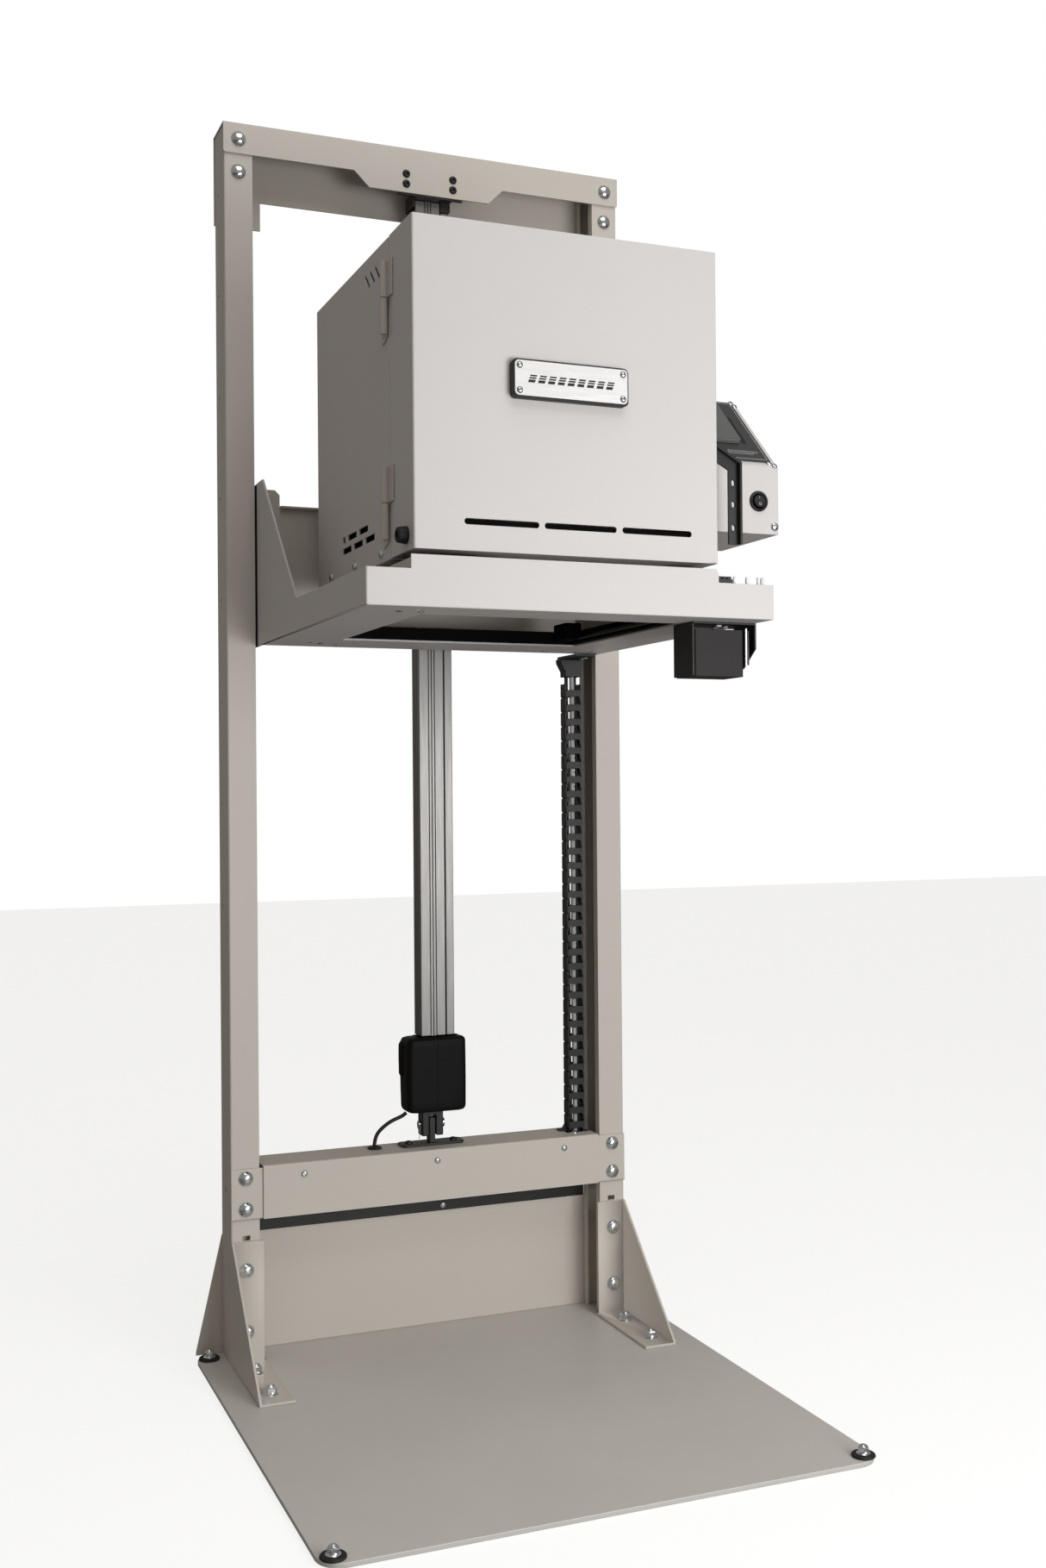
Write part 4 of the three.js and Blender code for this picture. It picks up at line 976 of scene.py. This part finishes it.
tray_under = millimetres("carriage_tray")[0].z
marks = bmesh.new()
for x, y in ((-183, 175.5), (-167, 187), (-182.6, -177.5), (184, 210), (202, 195.5), (217, 214)):
    for dx in (-1.6, 1.6):
        outline = [(x + dx - 1.0, y - 3.2), (x + dx + 1.0, y - 3.2), (x + dx + 0.8, y + 3.0),
                   (x + dx - 0.5, y + 3.2)]
        add_prism(marks, outline, tray_under - 0.4, tray_under + 0.4)
    add_box(marks, x - 2.6, x + 2.6, y + 2.2, y + 3.2, tray_under - 0.4, tray_under + 0.4)
piece("tray_lance_tabs", marks, "black_paint", "carriage", bevel=0.1)
# finned plate beside the drive box, with a bright front edge
SINK_X0, SINK_X1, SINK_Z0, SINK_Z1 = 216.8, 218.6, 849, 891
strip = bmesh.new()
add_box(strip, SINK_X0, SINK_X1, -182.4, -146, SINK_Z0, SINK_Z1)
for i in range(3):
    add_box(strip, SINK_X1 - 0.1, 224, -180 + i * 12, -178.8 + i * 12, SINK_Z0 + 2, SINK_Z1 - 2)
piece("drive_heat_sink", strip, "black_paint", "carriage", bevel=0.2)
strip = bmesh.new()
add_box(strip, SINK_X0, SINK_X1, -184.6, -182.5, SINK_Z0, SINK_Z1)
piece("drive_heat_sink_edge", strip, "anodised_plate", "carriage", bevel=0.2)
BRACKET_T = 2
bracket_under = millimetres("drive_bracket")[1].z - BRACKET_T
# painted light: the screws under the drive bracket take the pale anodised finish in place of zinc, so that
# they read bright in the shade there
drive_screws = [facing(x, y, bracket_under, DOWN, x) for x, y in ((189.3, -173), (204, -161), (197, -150))]
scatter("drive_bracket_screws", PAN_SMALL, drive_screws, "anodised_plate", "carriage")
chain_bracket_under = millimetres("chain_bracket")[0].z
low_screws = [facing(x, y, tray_under, DOWN, x) for x, y in ((-161.8, -184.3), (-140, 205), (140, 205))]
low_screws += [facing(x, y, chain_bracket_under, DOWN, x) for x, y in ((218.5, 246), (220.5, 262))]
scatter("underside_screws", PAN_SMALL, low_screws, "zinc_plate", "carriage")

# black members under the oven, seen through the window in the tray's floor
under = bmesh.new()
add_box(under, -158, 156, 128, 140, 899.5, 914)
add_box(under, 143, 158, -150, 127, 899.5, 914)
add_box(under, 120, 142, 90, 127, 902, 922)
add_box(under, -158, -152, -150, 127, 899.5, 908)
piece("tray_inner_rails", under, "black_and_painted_shade", "carriage", bevel=1.0)
rods = bmesh.new()
for x, z in ((138.5, 903.5), (144.0, 906.5)):
    add_tube(rods, [(x, y, z) for y in (-150, -30, 88)], 1.7, 10)
piece("tray_inner_rods", rods, "cable_jacket", "carriage")

# ---- floor and light ----
floor_bm = bmesh.new()
bmesh.ops.create_grid(floor_bm, x_segments=1, y_segments=1, size=9)
floor_mesh = bpy.data.meshes.new("studio_floor")
floor_bm.to_mesh(floor_mesh)
floor_bm.free()
floor = bpy.data.objects.new("studio_floor", floor_mesh)
FLOOR_GAP = 0.0002
floor.location.z = cad_low.z - FLOOR_GAP
# lit by the lamps like a mid-grey floor, but pale to the camera
floor_mat = finish("studio_floor", (0.28, 0.28, 0.28), 0.8, grain=60, bump=0.02, vary=0.005, speck=0.0)
floor_tree = floor_mat.node_tree
floor_shader = floor_tree.nodes["Principled BSDF"]
floor_shader.inputs["Emission Color"].default_value = (1.0, 1.0, 1.0, 1)
floor_seen = floor_tree.nodes.new("ShaderNodeLightPath")
floor_level = floor_tree.nodes.new("ShaderNodeMath")
floor_level.operation = "MULTIPLY"
floor_level.inputs[1].default_value = 0.78
floor_tree.links.new(floor_seen.outputs["Is Camera Ray"], floor_level.inputs[0])
floor_tree.links.new(floor_level.outputs["Value"], floor_shader.inputs["Emission Strength"])
floor_mesh.materials.append(floor_mat)
scene.collection.objects.link(floor)

# white to the camera, a dimmer warm fill to everything else
world = bpy.data.worlds.new("studio")
world.use_nodes = True
sky = world.node_tree
seen = sky.nodes.new("ShaderNodeLightPath")
level = sky.nodes.new("ShaderNodeMapRange")
level.inputs["To Min"].default_value = 0.29
level.inputs["To Max"].default_value = 1.0
sky.links.new(seen.outputs["Is Camera Ray"], level.inputs["Value"])
sky.links.new(level.outputs["Result"], sky.nodes["Background"].inputs["Strength"])
tone = sky.nodes.new("ShaderNodeMix")
tone.data_type = "RGBA"
tone.inputs["A"].default_value = (1.0, 0.94, 0.875, 1)
tone.inputs["B"].default_value = (1.0, 1.0, 1.0, 1)
sky.links.new(seen.outputs["Is Camera Ray"], tone.inputs["Factor"])
sky.links.new(tone.outputs["Result"], sky.nodes["Background"].inputs["Color"])
scene.world = world
scene.view_settings.view_transform = "Standard"


def area_light(name, place, target, width, height, power):
    """A soft rectangular lamp at place, aimed at target, in metres and watts."""
    data = bpy.data.lights.new(name, "AREA")
    data.shape = "RECTANGLE"
    data.size = width
    data.size_y = height
    data.energy = power
    light = bpy.data.objects.new(name, data)
    scene.collection.objects.link(light)
    aim = (Vector(target) - Vector(place)).to_track_quat("-Z", "Y")
    light.matrix_world = Matrix.Translation(place) @ aim.to_matrix().to_4x4()


area_light("key", (0.62, -1.45, 0.85), (0.0, 0.0, 1.0), 0.7, 0.7, 10.5)
area_light("low_front", (0.4, -2.1, 0.40), (0.0, 0.1, 0.4), 0.9, 0.6, 12.5)
area_light("top", (0.1, -1.2, 2.8), (0.0, -0.1, 0.0), 1.6, 1.6, 17)
